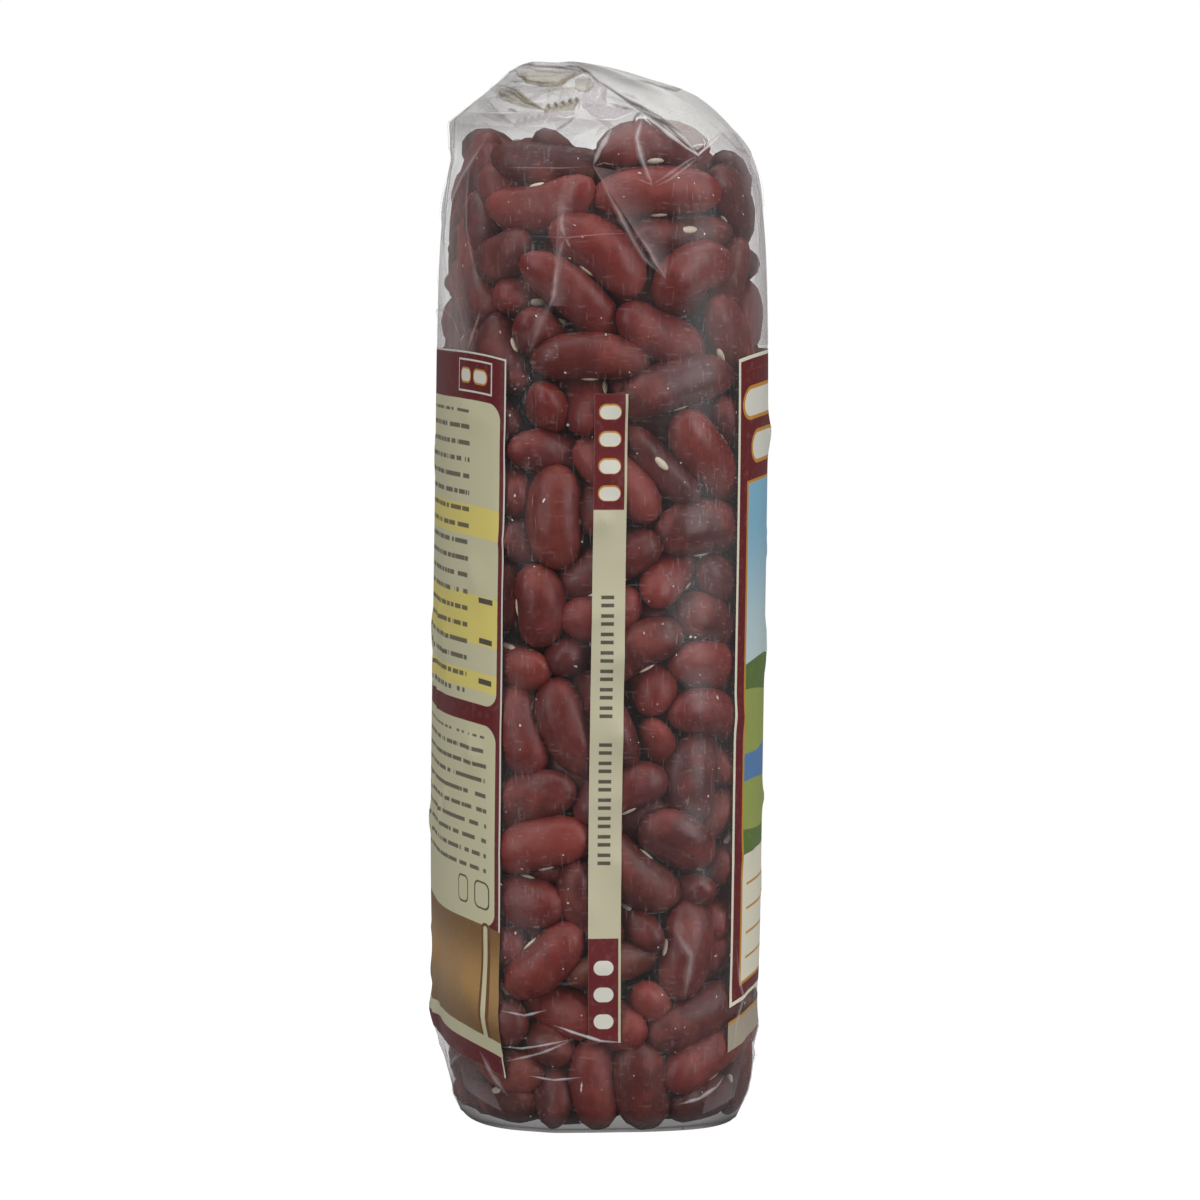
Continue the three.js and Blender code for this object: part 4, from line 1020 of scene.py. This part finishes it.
# Painted shadow under the bag, in the film's colour
nodes.feed(shader.inputs["Base Color"], nodes.mix(under, film_colour, BASE_SHADOW_BROWN))
on_panel = nodes.fade(nodes.math("ABSOLUTE", axes["X"]), *PANEL_FROM_TO)
roughness = nodes.math("MULTIPLY_ADD", on_panel, PANEL_ROUGHER, SIDE_ROUGHNESS)
roughness = nodes.math("MULTIPLY_ADD", haze_and_sheen_mask, HAZE_ROUGHER, roughness)
nodes.feed(shader.inputs["Roughness"], roughness)
shader.inputs["IOR"].default_value = FILM_IOR
wrinkle = nodes.noise(nodes.stretched(where, (1.0, 1.0, 0.4)), WRINKLE_SCALE, 2.0, 0.5, 0.4)
wrinkles = nodes.bump(wrinkle, WRINKLE_HEIGHT)
smoother_slack = nodes.math("MULTIPLY_ADD", slack, -0.8, 1.0, clamp=True)
nodes.feed(wrinkles.node.inputs["Strength"], smoother_slack)
nodes.feed(shader.inputs["Normal"], wrinkles)
film.data.materials.append(material)
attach(film, "root")


# The creases in the film
# Where the folded top and the filled corners pull at the film, it is pinched into narrow folds.
# Each is a tapered ribbon that lies on the sheet along its own path, coloured with the fold's
# painted highlight or painted shade. Wider folds are four-cornered patches of painted light and
# shade, each corner with its own strength; the beige ones are partly the folded top's doubled
# film and partly painted shade.
CREASE_STEPS = 26
CREASE_LIFT = 0.2
CREASE_HEIGHT = 0.12
CREASE_WOBBLE = 0.03
SHARP_PROFILE = ((-1.0, 0.0), (-0.4, 0.85), (0.0, 1.0), (0.4, 0.85), (1.0, 0.0))
SOFT_PROFILE = ((-1.0, 0.0), (-0.45, 0.35), (0.0, 1.0), (0.45, 0.35), (1.0, 0.0))
SOFT_FROM = 1.4
WOBBLE_KNOTS = 7
FOLD_STEPS = 14
FOLD_LIFT = 0.1
FAR_FROM = 160.0
FAR_SHARE = 0.45
FOLD_FADE_FROM = 0.3
FOLD_FADE_REACH = 0.4
BROKEN_SCALE = 420.0


def wall_share(across, height, wall):
    """The share of the girth at a place across one of the bag's four walls, at each height."""
    middle, half_depth, half_width, _ = section_at(height)
    if wall in ("left", "right"):
        share = np.clip((across - middle) / half_depth, -1, 1)
        turned = np.arcsin(signed_power(share, SQUARENESS / 2))
        angle = math.pi - turned if wall == "left" else turned
    else:
        share = np.clip(across / half_width, -1, 1)
        turned = np.arccos(signed_power(share, SQUARENESS / 2))
        angle = -turned if wall == "front" else turned
    return np.interp(np.mod(angle, 2 * math.pi), fine_angle, fine_length / GIRTH)


crease_points, crease_faces, crease_strength, crease_colour = [], [], [], []
crease_dice = np.random.default_rng(7)
vertex_total = 0


def add_sheet(rows, strength, colour):
    """One sheet of crease film, from a grid of points with a strength at each."""
    global vertex_total
    down, along = rows.shape[:2]
    corner = vertex_total + np.arange(down * along).reshape(down, along)
    corners = (corner[:-1, :-1], corner[:-1, 1:], corner[1:, 1:], corner[1:, :-1])
    crease_faces.extend(np.stack(corners, -1).reshape(-1, 4).tolist())
    crease_points.append(rows.reshape(-1, 3))
    crease_strength.append(strength.ravel())
    crease_colour.append(np.tile(colour, (down * along, 1)))
    vertex_total += down * along


WALL_CREASES = {
    "left": SIDE_CREASES,
    "right": SIDE_CREASES,
    "front": PANEL_CREASES,
    "back": PANEL_CREASES,
}
for wall, wall_creases in WALL_CREASES.items():
    for width, strength, colour, path in wall_creases:
        path = np.array(path)
        if wall == "right" and path[:, 1].max() > FAR_FROM:
            strength = strength * FAR_SHARE
        run = np.concatenate([[0], np.cumsum(np.hypot(*np.diff(path, axis=0).T))])
        even = np.linspace(0, 1, CREASE_STEPS)
        knots = np.linspace(0, 1, WOBBLE_KNOTS)
        wobble = crease_dice.normal(0, CREASE_WOBBLE, (2, WOBBLE_KNOTS))
        wobble = [np.interp(even, knots, row) * np.sin(math.pi * even) for row in wobble]
        steps = np.unique(np.concatenate([even * run[-1], run]))
        t = steps / run[-1]
        across = np.interp(steps, run, path[:, 0]) + np.interp(t, even, wobble[0])
        height = np.interp(steps, run, path[:, 1]) + np.interp(t, even, wobble[1])
        share = wall_share(across, height, wall)
        line = film_surface(share, height, -CREASE_LIFT)
        facing = film_surface(share, height, -1.0) - film_surface(share, height, 0.0)
        sideways = np.cross(np.gradient(line, axis=0), facing)
        sideways /= np.linalg.norm(sideways, axis=1, keepdims=True) + TINY
        unevenness = 0.88 + 0.12 * np.sin(t * 17 + len(path))
        taper = np.sin(math.pi * np.clip(t, 0.02, 0.98)) ** 0.6 * unevenness
        reach = sideways * (taper * width / 2)[:, None]
        profile = SOFT_PROFILE if width > SOFT_FROM else SHARP_PROFILE
        rows = [line + reach * off + facing * CREASE_HEIGHT * solid for off, solid in profile]
        strengths = [strength * taper * solid for _, solid in profile]
        add_sheet(np.stack(rows), np.stack(strengths), colour)
for wall in ("left", "right"):
    for colour, corners in SIDE_FOLDS:
        corners = np.array(corners)
        t, s = np.meshgrid(np.linspace(0, 1, FOLD_STEPS), np.linspace(0, 1, FOLD_STEPS))
        weights = np.stack([(1 - s) * (1 - t), s * (1 - t), s * t, (1 - s) * t], -1)
        across, height, strength = np.moveaxis(weights @ corners, -1, 0)
        if wall == "right" and corners[:, 1].max() > FAR_FROM:
            strength = strength * FAR_SHARE
        middle, half_depth, _, _ = section_at(height)
        along = np.clip(np.abs(across - middle) / half_depth, 0, 1)
        off_middle = (1 - along ** SQUARENESS) ** (1 / SQUARENESS)
        strength = strength * np.clip((off_middle - FOLD_FADE_FROM) / FOLD_FADE_REACH, 0, 1)
        patch = film_surface(wall_share(across, height, wall), height, -FOLD_LIFT)
        add_sheet(patch, strength, colour)

creases = shaped_mesh("film_crease_shading", np.concatenate(crease_points), crease_faces)
add_layer(creases, "crease_strength", np.concatenate(crease_strength))
layer = creases.data.attributes.new("crease_colour", "FLOAT_COLOR", "POINT")
layer.data.foreach_set("color", np.concatenate(crease_colour).astype(np.float32).ravel())
material, nodes, shader = new_material("painted fold light and shade")
broken = nodes.noise(nodes.object_coordinates(), BROKEN_SCALE, 3.0, 0.6)
broken = nodes.fade(broken, 0.25, 0.7, 0.75, 1.0)
strength = nodes.layer("crease_strength")
# Painted highlight and shade of each fold, in its own colour and strength
nodes.feed(shader.inputs["Alpha"], nodes.math("MULTIPLY", strength, broken, clamp=True))
nodes.feed(shader.inputs["Base Color"], nodes.layer("crease_colour", "Color"))
shader.inputs["Roughness"].default_value = 0.3
creases.data.materials.append(material)
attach(creases, "root")


# The printed areas
# Ink on the film: a front panel, a foot band under it, a back panel and a narrow strip down the
# middle of each side. Each is a thin patch that follows the film, with its colours on a UV map.
PRINT_LIFT = 0.08
TOP_DROOP = 1.7
FOOT_DROOP = 3.0
DROOP_REACH = 7.0
LABEL_TOP = 128.0
DROOP_HEIGHTS = [15.0, 60.0, LABEL_TOP]
FRONT_LABEL_BOTTOM = 22.8
BACK_LABEL_BOTTOM = 11.8
FOOT_BAND_BOTTOM = 15.6
FOOT_BAND_TOP = 20.4
FRONT_EDGE_Y = -19.95
BACK_EDGE_Y = 18.6
STRIP_BOTTOM = 15.2
STRIP_TOP = 120.8
STRIP_WIDTH = 5.4
STRIP_MIDDLE = 1.5
STRIP_STEP = 0.8
STRIP_BAR_PITCH = 0.44

DARK_RED = rgb(98, 20, 26)
CREAM = rgb(203, 198, 164)
FOOT_CREAM = rgb(164, 153, 136)
WHITE_INK = rgb(214, 212, 200)
YELLOW = rgb(222, 206, 116)
FRONT_CREAM = rgb(222, 217, 196)
STRIP_CREAM = rgb(192, 186, 158)
GOLD = rgb(190, 132, 46)
SKY = rgb(126, 176, 200)
SKY_PALE = rgb(188, 206, 208)
FIELD_GREEN = rgb(88, 112, 48)
FIELD_LIGHT = rgb(146, 158, 78)
WATER = rgb(84, 124, 172)
TAN = rgb(126, 92, 52)
TAN_LIGHT = rgb(168, 130, 82)
BROWN = rgb(110, 70, 36)
INK_GREY = rgb(84, 78, 66)

# Half the width in centimetres over which an edge of ink fades
INK_EDGE = 0.006
INK_GAP_SCALE = 5.0
INK_ROW_SHIFT = 7.3
INK_SHARE = 0.9
WEAR_SCALE = 900.0


def share_at_y(y, side):
    """The share of the girth at which the film's wall stands at a given Y, on the -X or +X side."""
    middle, half_depth, _, _ = section_at(BAG_HEIGHT / 2)
    angle = math.asin(signed_power((y - middle) / half_depth, SQUARENESS / 2))
    if side == "left":
        angle = math.pi - angle
    return float(np.interp(angle % (2 * math.pi), fine_angle, fine_length / GIRTH))


def print_patch(name, from_share, to_share, bottom, top, step=1.0, droop=1.0):
    """A patch of print that follows the film, with a UV map in centimetres from its lower left."""
    if to_share < from_share:
        to_share += 1.0
    width = (to_share - from_share) * GIRTH
    columns = max(4, round(width / step))
    rows = max(3, round((top - bottom) / step))
    flat, faces = unit_shape(
        bpy.ops.mesh.primitive_grid_add,
        x_subdivisions=columns,
        y_subdivisions=rows,
        size=2,
    )
    s = (flat[:, 0] + 1) / 2
    t = (flat[:, 1] + 1) / 2
    share = from_share + (to_share - from_share) * s
    height = bottom + (top - bottom) * t
    from_edge = np.minimum(s, 1 - s) * width
    pulled = droop * np.exp(-from_edge / DROOP_REACH)
    height = height - pulled * np.interp(height, DROOP_HEIGHTS, [FOOT_DROOP, TOP_DROOP, TOP_DROOP])
    patch = shaped_mesh(name, film_surface(share, height, -PRINT_LIFT), faces)
    layer = patch.data.uv_layers.new(name="print")
    corner = np.array([loop.vertex_index for loop in patch.data.loops])
    place = np.column_stack([s[corner] * width, t[corner] * (top - bottom)])
    layer.data.foreach_set("uv", place.ravel() / 10)
    return patch, width / 10, (top - bottom) / 10


box_group, nodes, given, result = new_group(
    "printed box",
    [("Place", "NodeSocketVector"), ("Left", "NodeSocketFloat"), ("Right", "NodeSocketFloat"),
     ("Bottom", "NodeSocketFloat"), ("Top", "NodeSocketFloat"), ("Corner", "NodeSocketFloat")],
    [("Mask", "NodeSocketFloat")],
)
axes = nodes.axes(given["Place"])
offs = []
for axis, low, high in (("X", "Left", "Right"), ("Y", "Bottom", "Top")):
    centre = nodes.math("MULTIPLY", nodes.math("ADD", given[low], given[high]), 0.5)
    half = nodes.math("MULTIPLY", nodes.math("SUBTRACT", given[high], given[low]), 0.5)
    off = nodes.math("ABSOLUTE", nodes.math("SUBTRACT", axes[axis], centre))
    offs.append(nodes.math("ADD", nodes.math("SUBTRACT", off, half), given["Corner"]))
outside = [nodes.math("MAXIMUM", off, 0.0) for off in offs]
square = [nodes.math("MULTIPLY", off, off) for off in outside]
corner_off = nodes.math("SQRT", nodes.math("ADD", square[0], square[1]))
edge_off = nodes.math("MINIMUM", nodes.math("MAXIMUM", offs[0], offs[1]), 0.0)
box_off = nodes.math("SUBTRACT", nodes.math("ADD", corner_off, edge_off), given["Corner"])
nodes.feed(result["Mask"], nodes.fade(box_off, -INK_EDGE, INK_EDGE, 1.0, 0.0))


class Print:
    """A print's colours, laid over each other as boxes on the patch's own UV map."""

    def __init__(self, name, ground):
        self.material, self.nodes, self.shader = new_material(name)
        self.place = self.nodes.add("ShaderNodeUVMap", uv_map="print").outputs["UV"]
        self.colour = ground

    def box_mask(self, left, right, bottom, top, corner=0.0):
        box = self.nodes.add("ShaderNodeGroup", node_tree=box_group)
        self.nodes.feed(box.inputs["Place"], self.place)
        ends = {"Left": left, "Right": right, "Bottom": bottom, "Top": top, "Corner": corner}
        for label, value in ends.items():
            box.inputs[label].default_value = value
        return box.outputs["Mask"]

    def lay(self, mask, colour):
        self.colour = self.nodes.mix(mask, self.colour, colour)

    def box(self, left, right, bottom, top, colour, corner=0.0):
        self.lay(self.box_mask(left, right, bottom, top, corner), colour)

    def ink_lines(self, left, right, bottom, top, pitch, colour):
        """Rows of short ink bars of uneven length, level across a box."""
        nodes = self.nodes
        axes = nodes.axes(self.place)
        row = nodes.math("DIVIDE", axes["Y"], pitch)
        in_row = nodes.math("FRACT", row)
        over = nodes.fade(in_row, 0.3, 0.36)
        under = nodes.fade(in_row, 0.58, 0.64, 1.0, 0.0)
        bar = nodes.math("MULTIPLY", over, under)
        spot = nodes.add("ShaderNodeCombineXYZ")
        nodes.feed(spot.inputs[0], nodes.math("MULTIPLY", axes["X"], INK_GAP_SCALE))
        nodes.feed(spot.inputs[1], nodes.math("MULTIPLY", nodes.math("FLOOR", row), INK_ROW_SHIFT))
        gaps = nodes.fade(nodes.noise(spot.outputs[0], 1.0, 1.0), 0.4, 0.44)
        inside = self.box_mask(left, right, bottom, top)
        shown = nodes.math("MULTIPLY", nodes.math("MULTIPLY", bar, gaps), inside)
        self.lay(nodes.math("MULTIPLY", shown, INK_SHARE), colour)

    def finish(self, patch):
        wear = self.nodes.noise(self.nodes.object_coordinates(), WEAR_SCALE, 3.0)
        worn = self.nodes.mix(self.nodes.fade(wear, 0.5, 0.9, 0.0, 0.08), self.colour, WHITE_INK)
        self.nodes.feed(self.shader.inputs["Base Color"], worn)
        self.shader.inputs["Roughness"].default_value = 0.45
        patch.data.materials.append(self.material)
        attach(patch, "root")


# The front panel: a dark red frame with a cream ground, a picture of fields, and rounded bars.
# W and H are a patch's width and height, and its boxes are placed in centimetres from lower left.
front_from, front_to = share_at_y(FRONT_EDGE_Y, "left"), share_at_y(FRONT_EDGE_Y, "right")
front, W, H = print_patch("front_print", front_from, front_to, FRONT_LABEL_BOTTOM, LABEL_TOP)
design = Print("front panel print", FRONT_CREAM)
design.box(0.06, W - 0.06, 0.06, H - 0.06, DARK_RED)
design.box(0.28, W - 0.28, 0.24, H - 0.24, GOLD)
design.box(0.34, W - 0.34, 0.29, H - 2.1, FRONT_CREAM)
design.box(0.28, W - 0.28, H - 2.05, H - 0.24, DARK_RED)
for k in range(3):
    middle = W * (k + 0.5) / 3
    for bottom, half in ((H - 1.06, 1.25), (H - 1.8, 0.95)):
        left, right = middle - half, middle + half
        design.box(left, right, bottom, bottom + 0.56, GOLD, 0.28)
        design.box(left + 0.06, right - 0.06, bottom + 0.06, bottom + 0.5, WHITE_INK, 0.22)
picture = (0.34, W - 0.34, 2.35, H - 2.1)
design.box(*picture, SKY)
axes = design.nodes.axes(design.place)
across, up = axes["X"], axes["Y"]
haze_up = design.nodes.fade(up, 5.4, 8.0, 1.0, 0.0)
inside = design.box_mask(*picture)
design.lay(design.nodes.math("MULTIPLY", inside, haze_up), SKY_PALE)


def hill(bottom, rise, waves, phase, colour):
    """One rolling line of fields across the picture."""
    wave = design.nodes.math("SINE", design.nodes.math("MULTIPLY_ADD", across, waves, phase))
    line = design.nodes.math("MULTIPLY_ADD", wave, rise, bottom)
    below = design.nodes.fade(design.nodes.math("SUBTRACT", line, up), 0.0, 0.02)
    design.lay(design.nodes.math("MULTIPLY", inside, below), colour)


hill(5.35, 0.18, 0.9, 0.4, FIELD_GREEN)
hill(4.95, 0.16, 0.7, 2.2, FIELD_LIGHT)
hill(4.1, 0.12, 1.1, 4.0, WATER)
hill(3.4, 0.14, 0.8, 1.1, FIELD_LIGHT)
hill(2.8, 0.12, 1.3, 3.0, FIELD_GREEN)
for k in range(4):
    design.box(0.5, W - 0.5, 0.62 + 0.4 * k, 0.66 + 0.4 * k, GOLD)
design.finish(front)

foot, W, H = print_patch("foot_band_print", front_from, front_to, FOOT_BAND_BOTTOM, FOOT_BAND_TOP)
design = Print("foot band print", FOOT_CREAM)
design.box(0.0, W, H - 0.05, H, GOLD)
design.finish(foot)

# The back panel: two cream boxes with rows of ink on dark red, yellow bands, and a tan foot
back_from, back_to = share_at_y(BACK_EDGE_Y, "right"), share_at_y(BACK_EDGE_Y, "left")
back, W, H = print_patch("back_print", back_from, back_to, BACK_LABEL_BOTTOM, LABEL_TOP)
design = Print("back panel print", WHITE_INK)
design.box(0.03, W - 0.03, 0.0, H - 0.03, DARK_RED)
design.box(0.11, W - 0.11, 5.9, H - 0.78, CREAM, 0.25)
design.box(0.11, W - 0.11, 2.35, 5.58, CREAM, 0.25)
for bottom, top in ((8.62, 9.12), (6.87, 7.67), (6.12, 6.42)):
    design.box(0.11, W - 0.11, bottom, top, YELLOW)
design.ink_lines(0.4, W - 0.95, 6.0, H - 0.95, 0.27, INK_GREY)
design.ink_lines(0.4, W - 0.3, 3.2, 5.4, 0.24, INK_GREY)
for k in range(3):
    design.box(W - 0.55, W - 0.22, 6.24 + 0.66 * k, 6.33 + 0.66 * k, INK_GREY)
for right in (W - 0.22, W - 0.82):
    design.box(right - 0.4, right, 2.6, 3.05, INK_GREY, 0.12)
    design.box(right - 0.37, right - 0.03, 2.63, 3.02, CREAM, 0.1)
design.box(W - 1.5, W - 0.3, H - 0.66, H - 0.12, WHITE_INK)
design.box(W - 1.47, W - 0.33, H - 0.63, H - 0.15, DARK_RED)
for left in (W - 1.38, W - 0.86):
    design.box(left, left + 0.44, H - 0.52, H - 0.26, GOLD, 0.12)
    design.box(left + 0.03, left + 0.41, H - 0.49, H - 0.29, WHITE_INK, 0.09)
design.box(0.0, W, 0.57, 2.35, TAN)
up = design.nodes.axes(design.place)["Y"]
rising = design.nodes.fade(up, 0.6, 1.4)
falling = design.nodes.fade(up, 1.5, 2.3, 1.0, 0.0)
design.lay(design.nodes.math("MULTIPLY", rising, falling), TAN_LIGHT)
design.box(W - 0.42, W - 0.2, 0.45, 2.4, BROWN, 0.1)
design.box(W - 0.37, W - 0.27, 0.5, 2.35, CREAM, 0.05)
design.box(0.0, W, 0.33, 0.57, CREAM)
design.finish(back)

# The strips down the sides: cream with a dark red field at each end, rounded bars and dashes
for side, from_y, to_y in (("left", 1, -1), ("right", -1, 1)):
    strip, W, H = print_patch(
        f"{side}_strip_print",
        share_at_y(STRIP_MIDDLE + from_y * STRIP_WIDTH / 2, side),
        share_at_y(STRIP_MIDDLE + to_y * STRIP_WIDTH / 2, side),
        STRIP_BOTTOM,
        STRIP_TOP,
        step=STRIP_STEP,
        droop=0.0,
    )
    design = Print(f"{side} strip print", STRIP_CREAM)
    design.box(0.0, W - 0.04, H - 1.88, H, DARK_RED)
    design.box(0.0, W - 0.04, 0.0, 1.7, DARK_RED)
    for k in range(4):
        down = H - STRIP_BAR_PITCH * k
        design.box(0.07, W - 0.1, down - 0.42, down - 0.16, GOLD, 0.125)
        design.box(0.09, W - 0.11, down - 0.41, down - 0.19, WHITE_INK, 0.11)
    for k in range(3):
        up = STRIP_BAR_PITCH * k
        design.box(0.09, W - 0.12, 0.22 + up, 0.46 + up, WHITE_INK, 0.12)
    for k in (*range(7), *range(8, 15)):
        design.box(0.15, W - 0.18, 2.9 + 0.3 * k, 2.96 + 0.3 * k, INK_GREY)
        design.box(0.15, W - 0.18, 3.03 + 0.3 * k, 3.09 + 0.3 * k, INK_GREY)
    design.finish(strip)


# The sealed end of the film
# Above the fill the film is pressed flat, cut with a zigzag edge and folded over. The folded tail
# hangs inside the tent of film, and its end shows through the bag's narrow side.
TAIL_PATH = [
    (3.0, 173.6), (9.0, 174.0), (15.5, 173.6), (16.4, 172.4), (13.0, 171.0),
    (8.0, 170.6), (5.0, 171.4), (6.5, 172.2), (10.0, 171.9), (16.0, 170.9),
    (19.0, 170.2), (16.5, 168.8), (12.5, 167.6), (9.0, 167.4),
]
TAIL_HALF_WIDTH = 26.0
TAIL_ROWS = 60
TAIL_FLARE = 0.32
TAIL_MIDDLE_Y = 10.5
TAIL_MIDDLE_Z = 172.0
TAIL_SWAY = 0.5
TAIL_RIPPLE = 0.35
TAIL_END_FROM = 0.99
TOOTH_WIDTH = 1.5
TOOTH_DEPTH = 0.9
SEALED_GREY = rgb(150, 142, 128)
SEALED_PALE = rgb(206, 202, 192)
RIB_STRETCH = (0.3, 1.0, 1.6)
RIB_SCALE = 420.0
RIB_HEIGHT = 0.0003
path = np.array(TAIL_PATH, float)
lengths = np.concatenate([[0], np.cumsum(np.linalg.norm(np.diff(path, axis=0), axis=1))])
flat, faces = unit_shape(
    bpy.ops.mesh.primitive_grid_add,
    x_subdivisions=int(4 * TAIL_HALF_WIDTH / TOOTH_WIDTH),
    y_subdivisions=TAIL_ROWS,
    size=2,
)
across = flat[:, 0] * TAIL_HALF_WIDTH
down = (flat[:, 1] + 1) / 2
tooth = np.abs((across / TOOTH_WIDTH) % 1.0 - 0.5) * 2
reach_down = lengths[-1] * down - TOOTH_DEPTH * tooth * (down > TAIL_END_FROM)
tail_y = np.interp(reach_down, lengths, path[:, 0])
tail_z = np.interp(reach_down, lengths, path[:, 1])
flare = 1 - TAIL_FLARE * (1 - np.abs(flat[:, 0]) ** 2)
tail_y = TAIL_MIDDLE_Y + (tail_y - TAIL_MIDDLE_Y) * flare + TAIL_SWAY * np.sin(across * 0.31)
ripple = TAIL_RIPPLE * np.sin(across * 0.34 + 1.0)
tail_z = TAIL_MIDDLE_Z + (tail_z - TAIL_MIDDLE_Z) * flare + ripple * down
tail = shaped_mesh("sealed_tail", np.column_stack([across, tail_y, tail_z]), faces)

material, nodes, shader = new_material("sealed film")
along_ribs = nodes.stretched(nodes.object_coordinates(), RIB_STRETCH)
ribs = nodes.noise(along_ribs, RIB_SCALE, 3.0, 0.6, 0.8)
rib_colour = nodes.mix(nodes.fade(ribs, 0.35, 0.65), SEALED_GREY, SEALED_PALE)
nodes.feed(shader.inputs["Base Color"], rib_colour)
nodes.feed(shader.inputs["Alpha"], nodes.fade(ribs, 0.3, 0.7, 0.24, 0.1))
shader.inputs["Roughness"].default_value = 0.3
nodes.feed(shader.inputs["Normal"], nodes.bump(ribs, RIB_HEIGHT))
tail.data.materials.append(material)
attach(tail, "root")


# The floor, the light and the camera
# A plain pale floor that fades into white, soft light from all round with a large box overhead,
# and a long lens level with the upper part of the bag.
FLOOR_RADIUS = 0.6
FLOOR_FADE = (0.12, 0.55)
FLOOR_GLOW = 0.93
FLOOR_GREY = (0.25, 0.25, 0.25, 1.0)
FLOOR_GREY_SEEN = (0.12, 0.12, 0.12, 1.0)
WHITE = (1.0, 1.0, 1.0, 1.0)
bpy.ops.mesh.primitive_circle_add(vertices=96, radius=FLOOR_RADIUS, fill_type="NGON")
floor = bpy.context.active_object
floor.name = "floor"
material, nodes, shader = new_material("pale floor")
from_middle = nodes.add("ShaderNodeVectorMath", operation="LENGTH")
nodes.feed(from_middle.inputs[0], nodes.object_coordinates())
seen = nodes.add("ShaderNodeLightPath").outputs["Is Camera Ray"]
nodes.feed(shader.inputs["Base Color"], nodes.mix(seen, FLOOR_GREY, FLOOR_GREY_SEEN))
nodes.feed(shader.inputs["Alpha"], nodes.fade(from_middle.outputs[1], *FLOOR_FADE, 1.0, 0.0))
shader.inputs["Roughness"].default_value = 0.9
shader.inputs["Emission Color"].default_value = WHITE
nodes.feed(shader.inputs["Emission Strength"], nodes.math("MULTIPLY", seen, FLOOR_GLOW))
floor.data.materials.append(material)
floor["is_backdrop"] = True


def softbox(name, place, aim, width, height, power):
    """A rectangular area light that faces a point."""
    light = bpy.data.lights.new(name, "AREA")
    light.shape = "RECTANGLE"
    light.size = width
    light.size_y = height
    light.energy = power
    lamp = bpy.data.objects.new(name, light)
    lamp.location = place
    lamp.rotation_euler = (Vector(aim) - Vector(place)).to_track_quat("-Z", "Y").to_euler()
    bpy.context.scene.collection.objects.link(lamp)


BAG_MIDDLE = (0.0, 0.0, 0.0875)
OVERHEAD_POWER = 16.5
LEFT_POWER = 4.9
RIGHT_POWER = 7.0
softbox("overhead box", (0.0, 0.0, 1.2), BAG_MIDDLE, 1.6, 1.6, OVERHEAD_POWER)
softbox("left box", (-0.75, 0.75, 0.45), BAG_MIDDLE, 0.6, 1.1, LEFT_POWER)
softbox("right box", (-0.75, -0.75, 0.45), BAG_MIDDLE, 0.6, 1.1, RIGHT_POWER)

# The surround is white in the picture and dimmer as a light
SURROUND_LIGHT = 0.16
SURROUND_SEEN = 0.84
world = bpy.data.worlds.new("white surround")
bpy.context.scene.world = world
world.use_nodes = True
sky = Nodes(world.node_tree)
background = world.node_tree.nodes["Background"]
seen = sky.add("ShaderNodeLightPath").outputs["Is Camera Ray"]
sky.feed(background.inputs["Color"], WHITE)
strength = sky.math("MULTIPLY_ADD", seen, SURROUND_SEEN, SURROUND_LIGHT)
sky.feed(background.inputs["Strength"], strength)
bpy.context.scene.view_settings.view_transform = "Standard"

AZIMUTH = math.radians(265.5)
ELEVATION = math.radians(2.8)
DISTANCE = 1.0
SENSOR = 36.0
PICTURE_WIDTH = 1200
PIXELS_PER_METRE = 5890.0
AIM_HEIGHT = 0.0852
AIM_SIDEWAYS = -0.0006
back_way = Vector((
    math.sin(AZIMUTH) * math.cos(ELEVATION),
    -math.cos(AZIMUTH) * math.cos(ELEVATION),
    math.sin(ELEVATION),
))
lens = bpy.data.cameras.new("camera")
lens.sensor_width = SENSOR
lens.lens = SENSOR * PIXELS_PER_METRE * DISTANCE / PICTURE_WIDTH
camera = bpy.data.objects.new("camera", lens)
camera.location = Vector((0, AIM_SIDEWAYS, AIM_HEIGHT)) + back_way * DISTANCE
camera.rotation_euler = (-back_way).to_track_quat("-Z", "Y").to_euler()
bpy.context.scene.collection.objects.link(camera)
bpy.context.scene.camera = camera

low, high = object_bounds()
